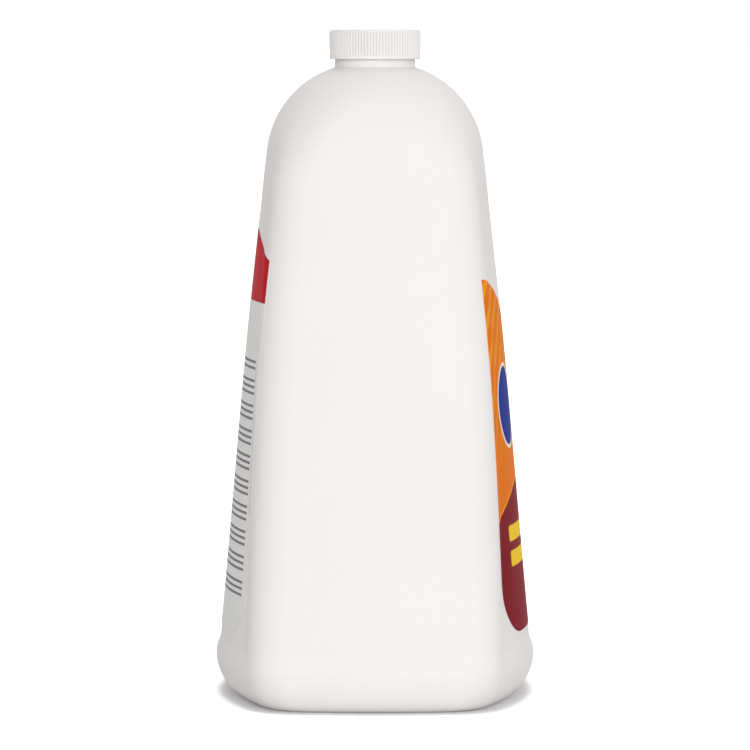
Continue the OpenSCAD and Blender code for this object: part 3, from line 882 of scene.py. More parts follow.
@dataclass
class ScrewCap:
    """The injection-moulded cap: ribbed wall, plain bead, round top edge and inner thread."""

    foot: float = 282.95
    height: float = 13.05
    crest_radius: float = 20.25
    rib_depth: float = 0.5
    rib_sharpness: float = 2.0
    # How far below the cap's top the painted shade in the rib valleys stops.
    painted_shade_end: float = 0.8
    rib_count: int = 90
    steps_per_rib: int = 6
    bore: float = 19.05
    top: float = 1.5
    edge_radius: float = 1.4
    bead_height: float = 1.2
    bead_proud: float = 0.15
    bead_round: float = 0.35
    lead_in: float = 0.4
    gate_radius: float = 2.4
    gate_depth: float = 0.3
    gate_slope: float = 0.4
    nub_radius: float = 0.5
    nub_depth: float = 0.1
    nub_slope: float = 0.3
    top_rings: tuple[float, float] = (8.0, 14.0)
    ceiling_rings: tuple[float, float] = (12.0, 4.0)
    wall_rings: int = 8
    bore_rings: int = 48
    bead_step: float = 0.05
    rib_start: float = 0.3
    ceiling_round: float = 0.4
    smooth_angle: float = math.radians(50)
    thread: Thread = field(default_factory=lambda: Thread(
        first_height=283.88, pitch=4.233, turns=1.25, first_turn=0.3, height=0.85, crest_half=0.35,
        root_half=0.95))

    def profile(self) -> list[tuple[float, float]]:
        """Radius and height of each ring, from the middle of the top, round the edge, to the inside.

        Returns:
            Radius and height of each ring, in millimetres.
        """
        top = self.foot + self.height
        gate = [(self.nub_radius, top - self.nub_depth),
                (self.nub_radius + self.nub_slope, top - self.gate_depth),
                (self.gate_radius, top - self.gate_depth), (self.gate_radius + self.gate_slope, top)]
        gate += [(radius, top) for radius in self.top_rings]
        edge = quarter_round(self.crest_radius - self.edge_radius, top - self.edge_radius,
                             self.edge_radius, 90, 0, 10)
        bead_top = self.foot + self.bead_height
        bead_radius = self.crest_radius + self.bead_proud
        heights = np.linspace(top - self.edge_radius, bead_top + self.rib_start, self.wall_rings)
        wall = [(self.crest_radius, z) for z in heights[1:]]
        bead = [(self.crest_radius, bead_top + self.bead_step)]
        bead += quarter_round(bead_radius - self.bead_round, bead_top - self.bead_round, self.bead_round,
                              60, 0, 3)
        bead += quarter_round(bead_radius - self.bead_round, self.foot + self.bead_round, self.bead_round,
                              0, -90, 4)
        mouth = [(self.bore + self.lead_in, self.foot), (self.bore, self.foot + self.lead_in)]
        ceiling = top - self.top
        heights = np.linspace(self.foot + self.lead_in, ceiling - self.ceiling_round, self.bore_rings)
        bore = [(self.bore, z) for z in heights[1:]]
        inside = [(self.bore - self.ceiling_round / 4, ceiling - self.ceiling_round / 4),
                  (self.bore - self.ceiling_round, ceiling)]
        inside += [(radius, ceiling) for radius in self.ceiling_rings]
        return gate + edge + wall + bead + mouth + bore + inside

    def cut_ribs(self, cap: bpy.types.Object) -> None:
        """Draws the valleys between the ribs in towards the axis, each row down to its own radius.

        Args:
            cap: The turned cap.
        """
        places = coordinates(cap) / MM
        radius = np.hypot(places[:, 0], places[:, 1])
        step = 2 * math.pi / (self.rib_count * self.steps_per_rib)
        column = np.mod(np.round(np.arctan2(places[:, 1], places[:, 0]) / step), self.steps_per_rib)
        share = ((1 - np.cos(2 * math.pi * column / self.steps_per_rib)) / 2) ** self.rib_sharpness
        fade = ease((self.foot + self.height - places[:, 2]) / self.edge_radius)
        limit = self.crest_radius - self.rib_depth * share * fade
        above_bead = places[:, 2] > self.foot + self.bead_height + 2 * self.bead_step
        wall = above_bead & (radius > self.bore + self.rib_start)
        scale = np.where(wall & (radius > limit), limit / np.maximum(radius, 1), 1)
        places[:, :2] *= scale[:, None]
        set_coordinates(cap, places * MM)

    def cut_thread(self, cap: bpy.types.Object) -> None:
        """Raises the thread out of the bore.

        Args:
            cap: The turned cap.
        """
        places = coordinates(cap) / MM
        radius = np.hypot(places[:, 0], places[:, 1])
        rise = self.thread.rise(np.arctan2(places[:, 1], places[:, 0]), places[:, 2])
        scale = np.where(np.abs(radius - self.bore) < ON_WALL, 1 - rise / np.maximum(radius, 1), 1)
        places[:, :2] *= scale[:, None]
        set_coordinates(cap, places * MM)

    def build(self) -> bpy.types.Object:
        """Models the cap as one closed solid.

        Returns:
            The screw cap.
        """
        cap = turn_profile("screw_cap", self.profile(), self.rib_count * self.steps_per_rib)
        self.cut_ribs(cap)
        self.cut_thread(cap)
        hold(cap)
        bpy.ops.object.shade_smooth_by_angle(angle=self.smooth_angle)
        return cap


@dataclass
class SealingLiner:
    """The foam disc in the cap, with the ring that the rim has pressed into it."""

    underside: float = 293.5
    thickness: float = 1.0
    radius: float = 18.65
    edge: float = 0.2
    swell: float = 0.12
    press_inner: float = 15.9
    press_outer: float = 18.1
    press_flank: float = 0.3
    press_run: float = 0.8
    press_share: float = 0.8
    flat_rings: tuple[float, float] = (4.0, 12.0)
    under_rings: tuple[float, float] = (10.0, 4.0)
    segments: int = 128
    smooth_angle: float = math.radians(40)

    def build(self) -> bpy.types.Object:
        """Models the liner as one closed solid.

        Returns:
            The liner.
        """
        top = self.underside + self.thickness
        low = self.underside
        profile = [(radius, top) for radius in self.flat_rings]
        profile += quarter_round(self.radius - self.edge, top - self.edge, self.edge, 90, 0, 3)
        profile += quarter_round(self.radius - self.edge, low + self.edge, self.edge, 0, -90, 3)
        profile += [(self.press_outer, low), (self.press_inner, low),
                    (self.press_inner - self.press_flank, low - self.swell * self.press_share),
                    (self.press_inner - self.press_run, low - self.swell)]
        profile += [(radius, low - self.swell) for radius in self.under_rings]
        liner = turn_profile("sealing_liner", profile, self.segments)
        hold(liner)
        bpy.ops.object.shade_smooth_by_angle(angle=self.smooth_angle)
        return liner


@dataclass
class LabelCut:
    """Outline of both labels on their panel, as in the part's source, with a higher back label."""

    form: JugForm
    side_low: float = 21.4
    side_high: float = 11.1
    foot: float = 31.0
    corner: float = 26.0
    front_tip: float = 187.0
    front_fall: float = 23.0
    front_bend: float = 1.5
    back_corner: float = 195.5
    back_rise: float = 16.0
    turn: float = 20.0
    hollow_margin: float = 2.0

    @property
    def half_low(self) -> float:
        """Half width of the label at its foot."""
        return float(self.form.half_width(self.foot)) - self.side_low

    @property
    def lean(self) -> float:
        """How much the half width falls for each millimetre of height."""
        half_high = float(self.form.half_width(self.front_tip)) - self.side_high
        return (self.half_low - half_high) / (self.front_tip - self.foot)

    def edge(self, z: np.ndarray) -> np.ndarray:
        """Half width of the label at a height."""
        return self.half_low - (z - self.foot) * self.lean

    def corner_cut(self, share: np.ndarray, radius: float) -> np.ndarray:
        """How far a rounded corner takes an edge in, at a share across the label."""
        reach = np.maximum(0, 1 - share * 2 * self.half_low / radius)
        return radius * (1 - np.sqrt(np.maximum(0, 1 - reach ** 2)))

    def low(self, share: np.ndarray) -> np.ndarray:
        """Height of the lower edge at a share across."""
        return self.foot + self.corner_cut(np.minimum(share, 1 - share), self.corner)

    def hollow_height(self, x: np.ndarray) -> np.ndarray:
        """Height at which the hollow round the finger gap, with a margin, stands over a place x.

        Args:
            x: Places across in millimetres.

        Returns:
            The height in millimetres.
        """
        form = self.form
        reach = form.gap_radius + form.gap_run + self.hollow_margin
        lean = math.tan(form.side_draft)
        across = form.gap_middle(form.gap_low) - x
        bend = form.run_below ** 2 + lean ** 2
        root = np.maximum(0, (lean * across) ** 2 - bend * (across ** 2 - reach ** 2))
        slanting = form.gap_low + (across - reach) / lean
        return np.where(across >= reach, slanting, form.gap_low - (np.sqrt(root) - lean * across) / bend)

    def top(self, share: np.ndarray, plain: np.ndarray) -> np.ndarray:
        """Height of the upper edge, cut down where the hollow lies below its plain height.

        Args:
            share: Shares across the label, from 0 to 1.
            plain: Height of the edge without the hollow.

        Returns:
            The height in millimetres.
        """
        side = 2 * share - 1
        guess = self.hollow_height(side * self.edge(self.form.gap_bottom))
        height = self.hollow_height(side * self.edge(np.minimum(plain, guess)))
        return np.minimum(plain, height - self.corner_cut(1 - share, self.turn))

    def high(self, share: np.ndarray, side: Side) -> np.ndarray:
        """Height of the upper edge at a share across, for the front or the back label.

        Args:
            share: Shares across the label, from 0 to 1.
            side: Which label.

        Returns:
            The height in millimetres.
        """
        if side is Side.FRONT:
            return self.top(share, self.front_tip - self.front_fall * (2 * share) ** self.front_bend)
        return self.top(share, self.back_corner + self.back_rise * np.sin(np.pi * share))


@dataclass
class FilmLabel:
    """One printed film label that lies on its panel."""

    jug: JugBody
    cut: LabelCut
    side: Side
    film: float = 0.14
    glue: float = 0.06
    columns: int = 96
    rows: int = 84
    even_share: float = 0.6
    smooth_angle: float = math.radians(40)

    def build(self) -> bpy.types.Object:
        """Lays the film on the skin of the jug and gives it its thickness.

        Returns:
            The label.
        """
        share = (1 - np.cos(np.pi * np.linspace(0, 1, self.columns + 1))) / 2
        up = (1 - np.cos(np.pi * np.linspace(0, 1, self.rows + 1))) / 2
        up = mix(up, np.linspace(0, 1, self.rows + 1), self.even_share)
        z = mix(self.cut.low(share), self.cut.high(share, self.side), up[:, None])
        x = self.cut.edge(z) * (2 * share - 1)
        y = self.jug.skin_at(x, z) + self.glue + self.film
        points = np.stack([x, self.side.value * y, z], axis=2)
        label, _ = lay_sheet(f"{self.side.name.lower()}_film", points)
        with editing(label, Pick.FACES):
            bpy.ops.mesh.select_all(action="SELECT")
            bpy.ops.mesh.extrude_region()
            bpy.ops.transform.translate(value=(0, -self.side.value * self.film * MM, 0))
        close_shell(label)
        bpy.ops.object.shade_smooth_by_angle(angle=self.smooth_angle)
        return label


def tone(red: float, green: float, blue: float) -> tuple[float, float, float, float]:
    """A colour for a shader from levels of 0 to 255 as they show on screen.

    Args:
        red: Level of red.
        green: Level of green.
        blue: Level of blue.

    Returns:
        The linear colour, with full cover.
    """
    shares = [level / 255 for level in (red, green, blue)]
    return (*[s / 12.92 if s <= 0.04045 else ((s + 0.055) / 1.055) ** 2.4 for s in shares], 1.0)


class Board:
    """The nodes of one material, added by short calls."""

    def __init__(self, name: str) -> None:
        """Starts a material with an empty node tree.

        Args:
            name: Name of the material.
        """
        self.material = bpy.data.materials.new(name)
        self.material.use_nodes = True
        self.nodes = self.material.node_tree.nodes
        self.links = self.material.node_tree.links
        self.nodes.clear()
        self.place = self.node("ShaderNodeTexCoord").outputs["Object"]

    def node(self, kind: str, **settings: object) -> bpy.types.Node:
        """Adds a node with its settings.

        Args:
            kind: Blender's name for the kind of node.
            settings: Properties of the node.

        Returns:
            The node.
        """
        made = self.nodes.new(kind)
        for name, value in settings.items():
            setattr(made, name, value)
        return made

    def feed(self, socket: bpy.types.NodeSocket, value: object) -> None:
        """Links a socket to another, or sets its own value.

        Args:
            socket: The input.
            value: Another socket or a plain value.
        """
        if isinstance(value, bpy.types.NodeSocket):
            self.links.new(value, socket)
        else:
            socket.default_value = value

    def maths(self, operation: str, *values: object) -> bpy.types.NodeSocket:
        """Adds one step of arithmetic.

        Args:
            operation: Blender's name for it.
            values: Its inputs, sockets or numbers.

        Returns:
            The result.
        """
        made = self.node("ShaderNodeMath", operation=operation)
        for socket, value in zip(made.inputs, values):
            self.feed(socket, value)
        return made.outputs[0]

    def fade(self, value: object, low: object, high: object) -> bpy.types.NodeSocket:
        """A share that rises softly from 0 at low to 1 at high.

        Args:
            value: What decides the share.
            low: Value at 0.
            high: Value at 1.

        Returns:
            The share.
        """
        made = self.node("ShaderNodeMapRange", interpolation_type="SMOOTHSTEP")
        self.feed(made.inputs["Value"], value)
        self.feed(made.inputs["From Min"], low)
        self.feed(made.inputs["From Max"], high)
        return made.outputs["Result"]

    def tint(self, share: object, under: object, over: object) -> bpy.types.NodeSocket:
        """Lays one colour over another by a share.

        Args:
            share: How far the upper one covers.
            under: The lower colour.
            over: The upper colour.

        Returns:
            The colour.
        """
        made = self.node("ShaderNodeMix", data_type="RGBA")
        self.feed(made.inputs[0], share)
        self.feed(made.inputs[6], under)
        self.feed(made.inputs[7], over)
        return made.outputs[2]

    def noise(self, scale: float, detail: float = 2.0, stretch: Sequence[float] = (1, 1, 1)
              ) -> bpy.types.NodeSocket:
        """Cloudy variation from 0 to 1.

        Args:
            scale: Number of clouds for each metre.
            detail: Number of finer layers.
            stretch: Share of the scale along each axis.

        Returns:
            The variation.
        """
        mapping = self.node("ShaderNodeMapping")
        self.feed(mapping.inputs["Vector"], self.place)
        mapping.inputs["Scale"].default_value = stretch
        made = self.node("ShaderNodeTexNoise")
        self.feed(made.inputs["Vector"], mapping.outputs[0])
        made.inputs["Scale"].default_value = scale
        made.inputs["Detail"].default_value = detail
        return made.outputs["Fac"]

    def bump(self, height: object, distance: float, strength: float, under: object = None
             ) -> bpy.types.NodeSocket:
        """Turns a height into a slight relief.

        Args:
            height: Height from 0 to 1.
            distance: Depth of the relief in metres.
            strength: Share of it that shows.
            under: Relief that this one lies on.

        Returns:
            The normal for a shader.
        """
        made = self.node("ShaderNodeBump")
        made.inputs["Strength"].default_value = strength
        made.inputs["Distance"].default_value = distance
        self.feed(made.inputs["Height"], height)
        if under is not None:
            self.feed(made.inputs["Normal"], under)
        return made.outputs[0]

    def surface(self, **inputs: object) -> bpy.types.Material:
        """Ends the board with one shader, its inputs named with _ for a space.

        Args:
            inputs: Sockets or plain values.

        Returns:
            The material.
        """
        shader = self.node("ShaderNodeBsdfPrincipled")
        for name, value in inputs.items():
            self.feed(shader.inputs[name.replace("_", " ")], value)
        output = self.node("ShaderNodeOutputMaterial")
        self.links.new(shader.outputs[0], output.inputs["Surface"])
        return self.material


@dataclass(frozen=True)
class MouldedPlastic:
    """White moulded plastic with the faint texture of its mould, and painted shade in valleys round an
    axis.
    """

    name: str
    colour: tuple[float, float, float, float]
    shade: tuple[float, float, float, float]
    roughness: float
    grain: float
    waves: float
    # valley: colour of painted shade in the valleys between ribs round the axis, bounded by the radii and
    # height below.
    valley: tuple[float, float, float, float] | None = None
    painted_shade_radius: tuple[float, float] = (0.0, 0.0)
    painted_shade_top: float = 0.0
    clouds: float = 18.0
    grains: float = 1500.0
    relief: float = 0.5
    gloss_swing: float = 0.1
    specular: float = 0.02

    def material(self) -> bpy.types.Material:
        """Makes the material.

        Returns:
            The material.
        """
        board = Board(self.name)
        cloud = board.noise(self.clouds)
        grain = board.noise(self.grains, 3.0)
        relief = board.bump(cloud, self.waves * MM, self.relief)
        relief = board.bump(grain, self.grain * MM, self.relief, relief)
        rough = board.maths("MULTIPLY_ADD", cloud, self.gloss_swing, self.roughness - self.gloss_swing / 2)
        colour = board.tint(cloud, self.shade, self.colour)
        # Painted shade: the valleys between the ribs, inside the radius range and below the top, are tinted
        # darker.
        if self.valley:
            axes = board.node("ShaderNodeSeparateXYZ")
            board.feed(axes.inputs[0], board.place)
            squares = [board.maths("MULTIPLY", axes.outputs[k], axes.outputs[k]) for k in (0, 1)]
            radius = board.maths("SQRT", board.maths("ADD", *squares))
            low, high = (value * MM for value in self.painted_shade_radius)
            deep = board.maths("SUBTRACT", 1.0, board.fade(radius, low, high))
            wall = board.maths("LESS_THAN", axes.outputs[2], self.painted_shade_top * MM)
            colour = board.tint(board.maths("MULTIPLY", deep, wall), colour, self.valley)
        return board.surface(Base_Color=colour, Roughness=rough, Normal=relief, IOR=PLASTIC_IOR,
                             Specular_IOR_Level=self.specular)


@dataclass(frozen=True)
class LinerFoam:
    """Closed-cell foam with a thin skin."""

    colour: tuple[float, float, float, float] = tone(232, 230, 224)
    shade: tuple[float, float, float, float] = tone(214, 212, 206)
    cells: float = 900.0
    cell_depth: float = 0.05
    relief: float = 0.4
    roughness: float = 0.7

    def material(self) -> bpy.types.Material:
        """Makes the material.

        Returns:
            The material.
        """
        board = Board("liner_foam")
        cells = board.node("ShaderNodeTexVoronoi")
        board.feed(cells.inputs["Vector"], board.place)
        cells.inputs["Scale"].default_value = self.cells
        relief = board.bump(cells.outputs["Distance"], self.cell_depth * MM, self.relief)
        colour = board.tint(cells.outputs["Distance"], self.colour, self.shade)
        return board.surface(Base_Color=colour, Roughness=self.roughness, Normal=relief)


class PrintBoard(Board):
    """A board for plain print: fields of colour and simple shapes placed in millimetres."""

    SOFT = 0.15
    CLOUDS = 60.0
    GRAINS = 700.0
    GRAIN_DEPTH = 0.01
    RELIEF = 0.3
    ROUGHNESS = 0.55
    GLOSS_SWING = 0.08
    SPECULAR = 0.02

    def __init__(self, name: str) -> None:
        """Starts a board and reads the place across and up, in millimetres.

        Args:
            name: Name of the material.
        """
        super().__init__(name)
        axes = self.node("ShaderNodeSeparateXYZ")
        self.feed(axes.inputs[0], self.place)
        self.x = self.maths("MULTIPLY", axes.outputs[0], 1 / MM)
        self.z = self.maths("MULTIPLY", axes.outputs[2], 1 / MM)

    def below(self, value: object, limit: object) -> bpy.types.NodeSocket:
        """A share of 1 where a value is under a limit, with a soft edge."""
        return self.fade(self.maths("SUBTRACT", limit, value), -self.SOFT, self.SOFT)

    def both(self, *shares: object) -> bpy.types.NodeSocket:
        """A share where all of several shares are on.

        Args:
            shares: Two or more shares.

        Returns:
            Their product.
        """
        result = shares[0]
        for share in shares[1:]:
            result = self.maths("MULTIPLY", result, share)
        return result

    def away(self, x: float, z: float) -> bpy.types.NodeSocket:
        """Distance from a point on the label.

        Args:
            x: Place across in millimetres.
            z: Height.

        Returns:
            The distance in millimetres.
        """
        across = self.maths("SUBTRACT", self.x, x)
        up = self.maths("SUBTRACT", self.z, z)
        return self.maths("SQRT", self.maths(
            "ADD", self.maths("MULTIPLY", across, across), self.maths("MULTIPLY", up, up)))

    def disc(self, x: float, z: float, radius: float) -> bpy.types.NodeSocket:
        """A round field."""
        return self.below(self.away(x, z), radius)

    def box(self, x: float, z: float, half_x: float, half_z: float, corner: float) -> bpy.types.NodeSocket:
        """A field with four rounded corners.

        Args:
            x: Middle across.
            z: Middle up.
            half_x: Half width.
            half_z: Half height.
            corner: Radius of the corners.

        Returns:
            The share that is 1 on the field.
        """
        reach = []
        for value, middle, half in ((self.x, x, half_x), (self.z, z, half_z)):
            off = self.maths("ABSOLUTE", self.maths("SUBTRACT", value, middle))
            reach.append(self.maths("MAXIMUM", self.maths("SUBTRACT", off, half - corner), 0.0))
        distance = self.maths("SQRT", self.maths(
            "ADD", self.maths("MULTIPLY", reach[0], reach[0]), self.maths("MULTIPLY", reach[1], reach[1])))
        return self.below(distance, corner)

    def film_surface(self, colour: bpy.types.NodeSocket) -> bpy.types.Material:
        """Ends the board with the smooth finish of printed film.

        Args:
            colour: The print.

        Returns:
            The material.
        """
        rough = self.maths("MULTIPLY_ADD", self.noise(self.CLOUDS), self.GLOSS_SWING, self.ROUGHNESS)
        relief = self.bump(self.noise(self.GRAINS, 3.0), self.GRAIN_DEPTH * MM, self.RELIEF)
        return self.surface(Base_Color=colour, Roughness=rough, Normal=relief, IOR=PLASTIC_IOR,
                            Specular_IOR_Level=self.SPECULAR)

    def label_edge(self, cut: LabelCut) -> bpy.types.NodeSocket:
        """Half width of the label at the height of a place."""
        return self.maths("MULTIPLY_ADD", self.z, -cut.lean, cut.half_low + cut.foot * cut.lean)

    def arch(self, cut: LabelCut) -> bpy.types.NodeSocket:
        """A rise that is 1 at the middle of the label and 0 at its edges."""
        turn = self.maths("DIVIDE", self.maths("MULTIPLY", self.x, math.pi / 2), self.label_edge(cut))
        return self.maths("COSINE", turn)


@dataclass(frozen=True)
class FrontPrint:
    """Print of the front label: orange with golden arcs, a maroon field, yellow bars and a blue roundel."""

    cut: LabelCut
    orange: tuple[float, float, float, float] = tone(236, 122, 22)
    gold: tuple[float, float, float, float] = tone(248, 164, 44)
    maroon: tuple[float, float, float, float] = tone(126, 20, 30)
    yellow: tuple[float, float, float, float] = tone(250, 208, 46)
    blue: tuple[float, float, float, float] = tone(22, 48, 138)
    pale: tuple[float, float, float, float] = tone(244, 240, 232)
    maroon_edge: float = 81.0
    maroon_rise: float = 17.0
    bar_half: float = 46.0
    bar_foot: float = 60.0
    bar_height: float = 7.0
    bar_space: float = 4.0
    bar_count: int = 2
    roundel: tuple[float, float] = (-27.0, 130.0)
    roundel_radius: float = 19.0
    ring: float = 1.6
    arc_centre: tuple[float, float] = (70.0, 60.0)
    arc_pitch: float = 9.0
    arc_band: tuple[float, float] = (0.2, 0.5)
    arc_fade: tuple[float, float] = (84.0, 170.0)
    arc_strength: float = 0.75
    gold_line: float = 1.2
    bar_corner: float = 1.5

    def material(self) -> bpy.types.Material:
        """Makes the printed material.

        Returns:
            The material.
        """
        board = PrintBoard("front_film_print")
        distance = board.away(*self.arc_centre)
        wave = board.maths("SINE", board.maths("MULTIPLY", distance, 2 * math.pi / self.arc_pitch))
        arcs = board.fade(wave, *self.arc_band)
        strength = board.maths("MULTIPLY", board.fade(board.z, *self.arc_fade), self.arc_strength)
        colour = board.tint(board.both(arcs, strength), self.orange, self.gold)
        border = board.maths("MULTIPLY_ADD", board.arch(self.cut), self.maroon_rise, self.maroon_edge)
        line = board.below(board.z, board.maths("ADD", border, self.gold_line))
        colour = board.tint(line, colour, self.gold)
        colour = board.tint(board.below(board.z, border), colour, self.maroon)
        for k in range(self.bar_count):
            middle = self.bar_foot + self.bar_height / 2 + k * (self.bar_height + self.bar_space)
            bar = board.box(0.0, middle, self.bar_half, self.bar_height / 2, self.bar_corner)
            colour = board.tint(bar, colour, self.yellow)
        colour = board.tint(board.disc(*self.roundel, self.roundel_radius), colour, self.pale)
        colour = board.tint(board.disc(*self.roundel, self.roundel_radius - self.ring), colour, self.blue)
        return board.film_surface(colour)


@dataclass(frozen=True)
class BackPrint:
    """Print of the back label: pale film, a red banner, a thin red border and blocks of grey lines."""

    cut: LabelCut
    film: tuple[float, float, float, float] = tone(240, 240, 238)
    red: tuple[float, float, float, float] = tone(196, 30, 42)
    grey: tuple[float, float, float, float] = tone(132, 132, 134)
    banner_right: float = -16.0
    banner_foot: float = 176.5
    margin: float = 0.6
    border_in: float = 5.0
    border_width: float = 0.45
    border_foot: float = 84.0
    border_top: float = 150.0
    line_foot: float = 48.0
    line_top: float = 152.0
    line_pitch: float = 2.75
    lines_per_block: int = 4
    line_share: float = 0.42
    line_margin: float = 9.0
    line_start: float = 3.0
    line_spread: float = 9.0
    line_shuffle: float = 0.618

    def material(self) -> bpy.types.Material:
        """Makes the printed material.

        Returns:
            The material.
        """
        board = PrintBoard("back_film_print")
        edge = board.label_edge(self.cut)
        reach = board.maths("ABSOLUTE", board.x)
        colour = self.grey_lines(board, edge, reach)
        frame_line = board.both(
            board.below(reach, board.maths("SUBTRACT", edge, self.border_in)),
            board.below(board.maths("SUBTRACT", edge, self.border_in + self.border_width), reach),
            board.below(self.border_foot, board.z), board.below(board.z, self.border_top))
        colour = board.tint(frame_line, colour, self.red)
        top = board.maths("MULTIPLY_ADD", board.arch(self.cut), self.cut.back_rise, self.cut.back_corner)
        banner = board.both(
            board.below(board.x, self.banner_right),
            board.below(board.z, board.maths("SUBTRACT", top, self.margin)),
            board.below(self.banner_foot, board.z),
            board.below(reach, board.maths("SUBTRACT", edge, self.margin)))
        colour = board.tint(banner, colour, self.red)
        return board.film_surface(colour)

    def grey_lines(self, board: PrintBoard, edge: object, reach: object) -> bpy.types.NodeSocket:
        """Rows of plain thin bars, in blocks with a blank line between them.

        Args:
            board: The label's board.
            edge: Half width of the label.
            reach: Distance from its middle.

        Returns:
            The colour of the film with its bars.
        """
        count = board.maths("DIVIDE", board.maths("SUBTRACT", board.z, self.line_foot), self.line_pitch)
        row = board.maths("FLOOR", count)
        within = board.below(board.maths("MULTIPLY", board.maths("FRACT", count), self.line_pitch),
                             self.line_share * self.line_pitch)
        slot = board.maths("MODULO", row, float(self.lines_per_block))
        printed = board.maths("LESS_THAN", slot, self.lines_per_block - 1.5)
        wobble = board.maths("FRACT", board.maths("MULTIPLY", row, self.line_shuffle))
        middle_gap = board.below(
            board.maths("MULTIPLY_ADD", wobble, self.line_spread, self.line_start), reach)
        sides = board.below(reach, board.maths("SUBTRACT", edge, self.line_margin))
        upright = board.both(board.below(self.line_foot, board.z), board.below(board.z, self.line_top))
        share = board.both(within, printed, middle_gap, sides, upright)
        return board.tint(share, self.film, self.grey)


@dataclass(frozen=True)
class StudioFloor:
    """The pale floor: it shows white to the camera and keeps the object's shadow, with a painted contact
    shadow where ambient occlusion dims its glow near the object.
    """

    half_size: float = 400.0
    grey: float = 0.8
    lift: float = 0.95
    # shaded_lift, shaded_share and clear_share set the painted contact shadow: how low the glow drops and
    # at which occlusion.
    shaded_lift: float = 0.1
    painted_shadow_reach: float = 0.012
    shaded_share: float = 0.45
    clear_share: float = 0.82

    def build(self) -> bpy.types.Object:
        """Adds the floor under the object.

        Returns:
            The floor.
        """
        bpy.ops.object.select_all(action="DESELECT")
        bpy.ops.mesh.primitive_plane_add(size=2 * self.half_size)
        floor = bpy.context.object
        floor.name = "studio_floor"
        board = Board("studio_floor")
        rays = board.node("ShaderNodeLightPath")
        seen = board.maths("MAXIMUM", rays.outputs["Is Camera Ray"], rays.outputs["Is Glossy Ray"])
        seen = board.maths("MAXIMUM", seen, rays.outputs["Is Transmission Ray"])
        matt = board.node("ShaderNodeBsdfDiffuse")
        matt.inputs["Color"].default_value = (self.grey, self.grey, self.grey, 1)
        # Painted shadow: ambient occlusion within painted_shadow_reach dims the floor's glow to the camera
        # near the object.
        near = board.node("ShaderNodeAmbientOcclusion")
        near.inputs["Distance"].default_value = self.painted_shadow_reach
        glow = board.node("ShaderNodeEmission")
        lift = board.node("ShaderNodeMapRange")
        board.feed(lift.inputs["Value"], near.outputs["AO"])
        lift.inputs["From Min"].default_value = self.shaded_share
        lift.inputs["From Max"].default_value = self.clear_share
        lift.inputs["To Min"].default_value = self.shaded_lift
        lift.inputs["To Max"].default_value = self.lift
        board.feed(glow.inputs["Strength"], board.maths("MULTIPLY", seen, lift.outputs[0]))
        both = board.node("ShaderNodeAddShader")
        board.feed(both.inputs[0], matt.outputs[0])
        board.feed(both.inputs[1], glow.outputs[0])
        output = board.node("ShaderNodeOutputMaterial")
        board.feed(output.inputs["Surface"], both.outputs[0])
        floor.data.materials.append(board.material)
        return floor


@dataclass(frozen=True)
class Softbox:
    """A wide soft light from far away, given by the direction that it comes from."""

    name: str
    comes_from: tuple[float, float, float]
    level: float
    spread: float

    def build(self) -> None:
        """Hangs the light. A level of 1 shows a colour as it is written on a face turned to it."""
        data = bpy.data.lights.new(self.name, "SUN")
        data.energy = self.level * math.pi
        data.angle = self.spread
        lamp = bpy.data.objects.new(self.name, data)
        bpy.context.scene.collection.objects.link(lamp)
        lamp.rotation_euler = (-Vector(self.comes_from)).to_track_quat("-Z", "Y").to_euler()


@dataclass(frozen=True)
class Studio:
    """Floor, lamps, world and the camera at the photograph's viewing angle."""

    ambient: float = 0.385
    camera_distance: float = 2.1
    camera_height: float = 0.2938
    camera_pitch: float = math.radians(4.151)
    lens: float = 225.06
    sensor: float = 36.0
    clip_end: float = 100.0
    lights: tuple[Softbox, ...] = (
        Softbox("key_light", (-1.0, -0.1, 0.12), 0.665, math.radians(36)),
        Softbox("side_light", (0.25, -1.0, 0.3), 0.12, math.radians(60)),
        Softbox("top_light", (-0.35, 0.0, 1.0), 0.17, math.radians(80)),
        Softbox("back_light", (1.0, 0.1, 0.5), 0.2, math.radians(60)),
    )

    def build(self) -> None:
        """Sets up everything around the object."""
        scene = bpy.context.scene
        scene.view_settings.view_transform = "Standard"
        StudioFloor().build()
        for light in self.lights:
            light.build()
        self.build_world()
        self.build_camera()

    def build_world(self) -> None:
        """Makes a white surround that lights the object at a plain level."""
        world = bpy.data.worlds.new("studio_world")
        bpy.context.scene.world = world
        world.use_nodes = True
        nodes, links = world.node_tree.nodes, world.node_tree.links
        nodes.clear()
        rays = nodes.new("ShaderNodeLightPath")
        seen = rays.outputs["Is Camera Ray"]
        for ray in ("Is Glossy Ray", "Is Transmission Ray"):
            step = nodes.new("ShaderNodeMath")
            step.operation = "MAXIMUM"
            links.new(seen, step.inputs[0])
            links.new(rays.outputs[ray], step.inputs[1])
            seen = step.outputs[0]
        strength = nodes.new("ShaderNodeMapRange")
        links.new(seen, strength.inputs["Value"])
        strength.inputs["To Min"].default_value = self.ambient
        strength.inputs["To Max"].default_value = 1.0
        surround = nodes.new("ShaderNodeBackground")
        surround.inputs["Color"].default_value = (1, 1, 1, 1)
        links.new(strength.outputs[0], surround.inputs["Strength"])
        output = nodes.new("ShaderNodeOutputWorld")
        links.new(surround.outputs[0], output.inputs["Surface"])

    def build_camera(self) -> None:
        """Sets the camera in front of the plain narrow side, pitched down a little."""
        data = bpy.data.cameras.new("photo_camera")
        data.lens = self.lens
        data.sensor_width = self.sensor
        data.clip_end = self.clip_end
        camera = bpy.data.objects.new("photo_camera", data)
        bpy.context.scene.collection.objects.link(camera)
        camera.location = (-self.camera_distance, 0, self.camera_height)
        aim = Vector((math.cos(self.camera_pitch), 0, -math.sin(self.camera_pitch)))
        camera.rotation_euler = aim.to_track_quat("-Z", "Y").to_euler()
        bpy.context.scene.camera = camera


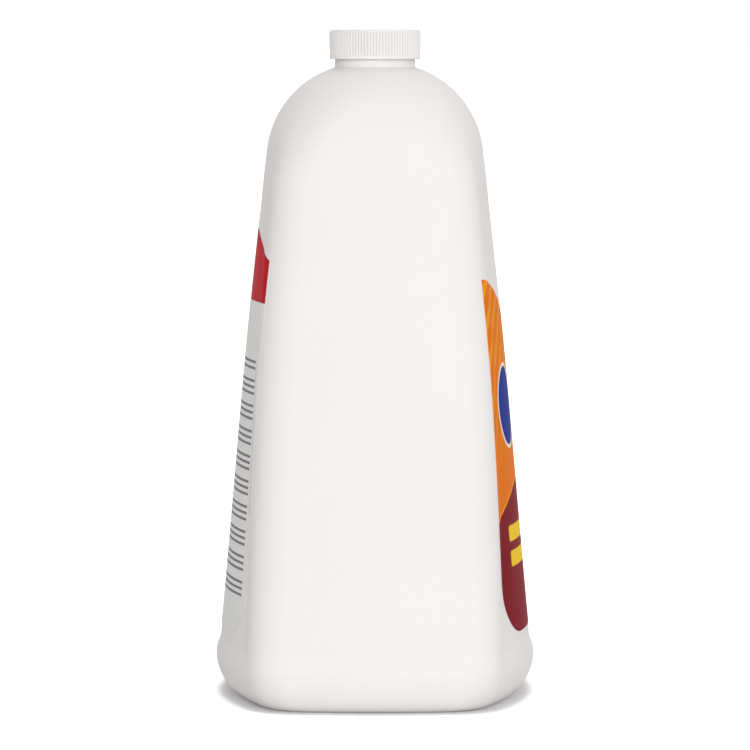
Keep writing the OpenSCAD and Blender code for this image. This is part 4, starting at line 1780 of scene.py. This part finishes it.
def place(piece: bpy.types.Object, body: str, slot: str, material: bpy.types.Material, *nodes: str) -> None:
    """Dresses a finished piece and fits it to the frame.

    Args:
        piece: The finished piece.
        body: The body that it moves with.
        slot: Name of a material slot; not used.
        material: Its finish.
        nodes: The solids that it stands for.
    """
    piece.data.materials.clear()
    piece.data.materials.append(material)
    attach(piece, body)
    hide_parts(*nodes)
    piece.data.calc_loop_triangles()
    log.info("%s: %d triangles on %s", piece.name, len(piece.data.loop_triangles), body)


def dress_frame(white: bpy.types.Material) -> None:
    """Gives every solid of the frame a finish, also those that a piece stands for.

    Args:
        white: The finish of the bottle.
    """
    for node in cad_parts.values():
        node.data.materials.clear()
        node.data.materials.append(white)


def main() -> None:
    """Builds the pieces in order, then the studio."""
    logging.basicConfig(level=logging.INFO, format="%(message)s")
    screw_cap = ScrewCap()
    bottle_white = MouldedPlastic("jug_plastic", tone(243, 239, 238), tone(240, 236, 235),
                                  roughness=0.5, grain=0.012, waves=0.12)
    # Painted shade: the cap's rib valleys are tinted darker than its plastic.
    cap_white = MouldedPlastic(
        "cap_plastic", tone(243, 239, 238), tone(241, 237, 236), roughness=0.4, grain=0.006, waves=0.02,
        valley=tone(222, 218, 216),
        painted_shade_radius=(screw_cap.crest_radius - screw_cap.rib_depth,
                       screw_cap.crest_radius - screw_cap.bead_step),
        painted_shade_top=screw_cap.foot + screw_cap.height - screw_cap.painted_shade_end)
    dress_frame(bottle_white.material())
    jug = JugBody()
    cut = LabelCut(jug.form)
    place(jug.build(), "bottle", "jug_plastic", bottle_white.material(), "bottle")
    place(screw_cap.build(), "cap", "cap_plastic", cap_white.material(), "cap")
    place(SealingLiner().build(), "liner", "liner_foam", LinerFoam().material(), "cap_liner")
    place(FilmLabel(jug, cut, Side.FRONT).build(), "bottle", "orange_film", FrontPrint(cut).material(),
          "front_label", "front_label_maroon_field", "front_label_yellow_bars", "front_label_blue_roundel")
    place(FilmLabel(jug, cut, Side.BACK).build(), "bottle", "pale_film", BackPrint(cut).material(),
          "back_label", "back_label_red_banner", "back_label_grey_lines")
    Studio().build()


if __name__ == "__main__":
    main()
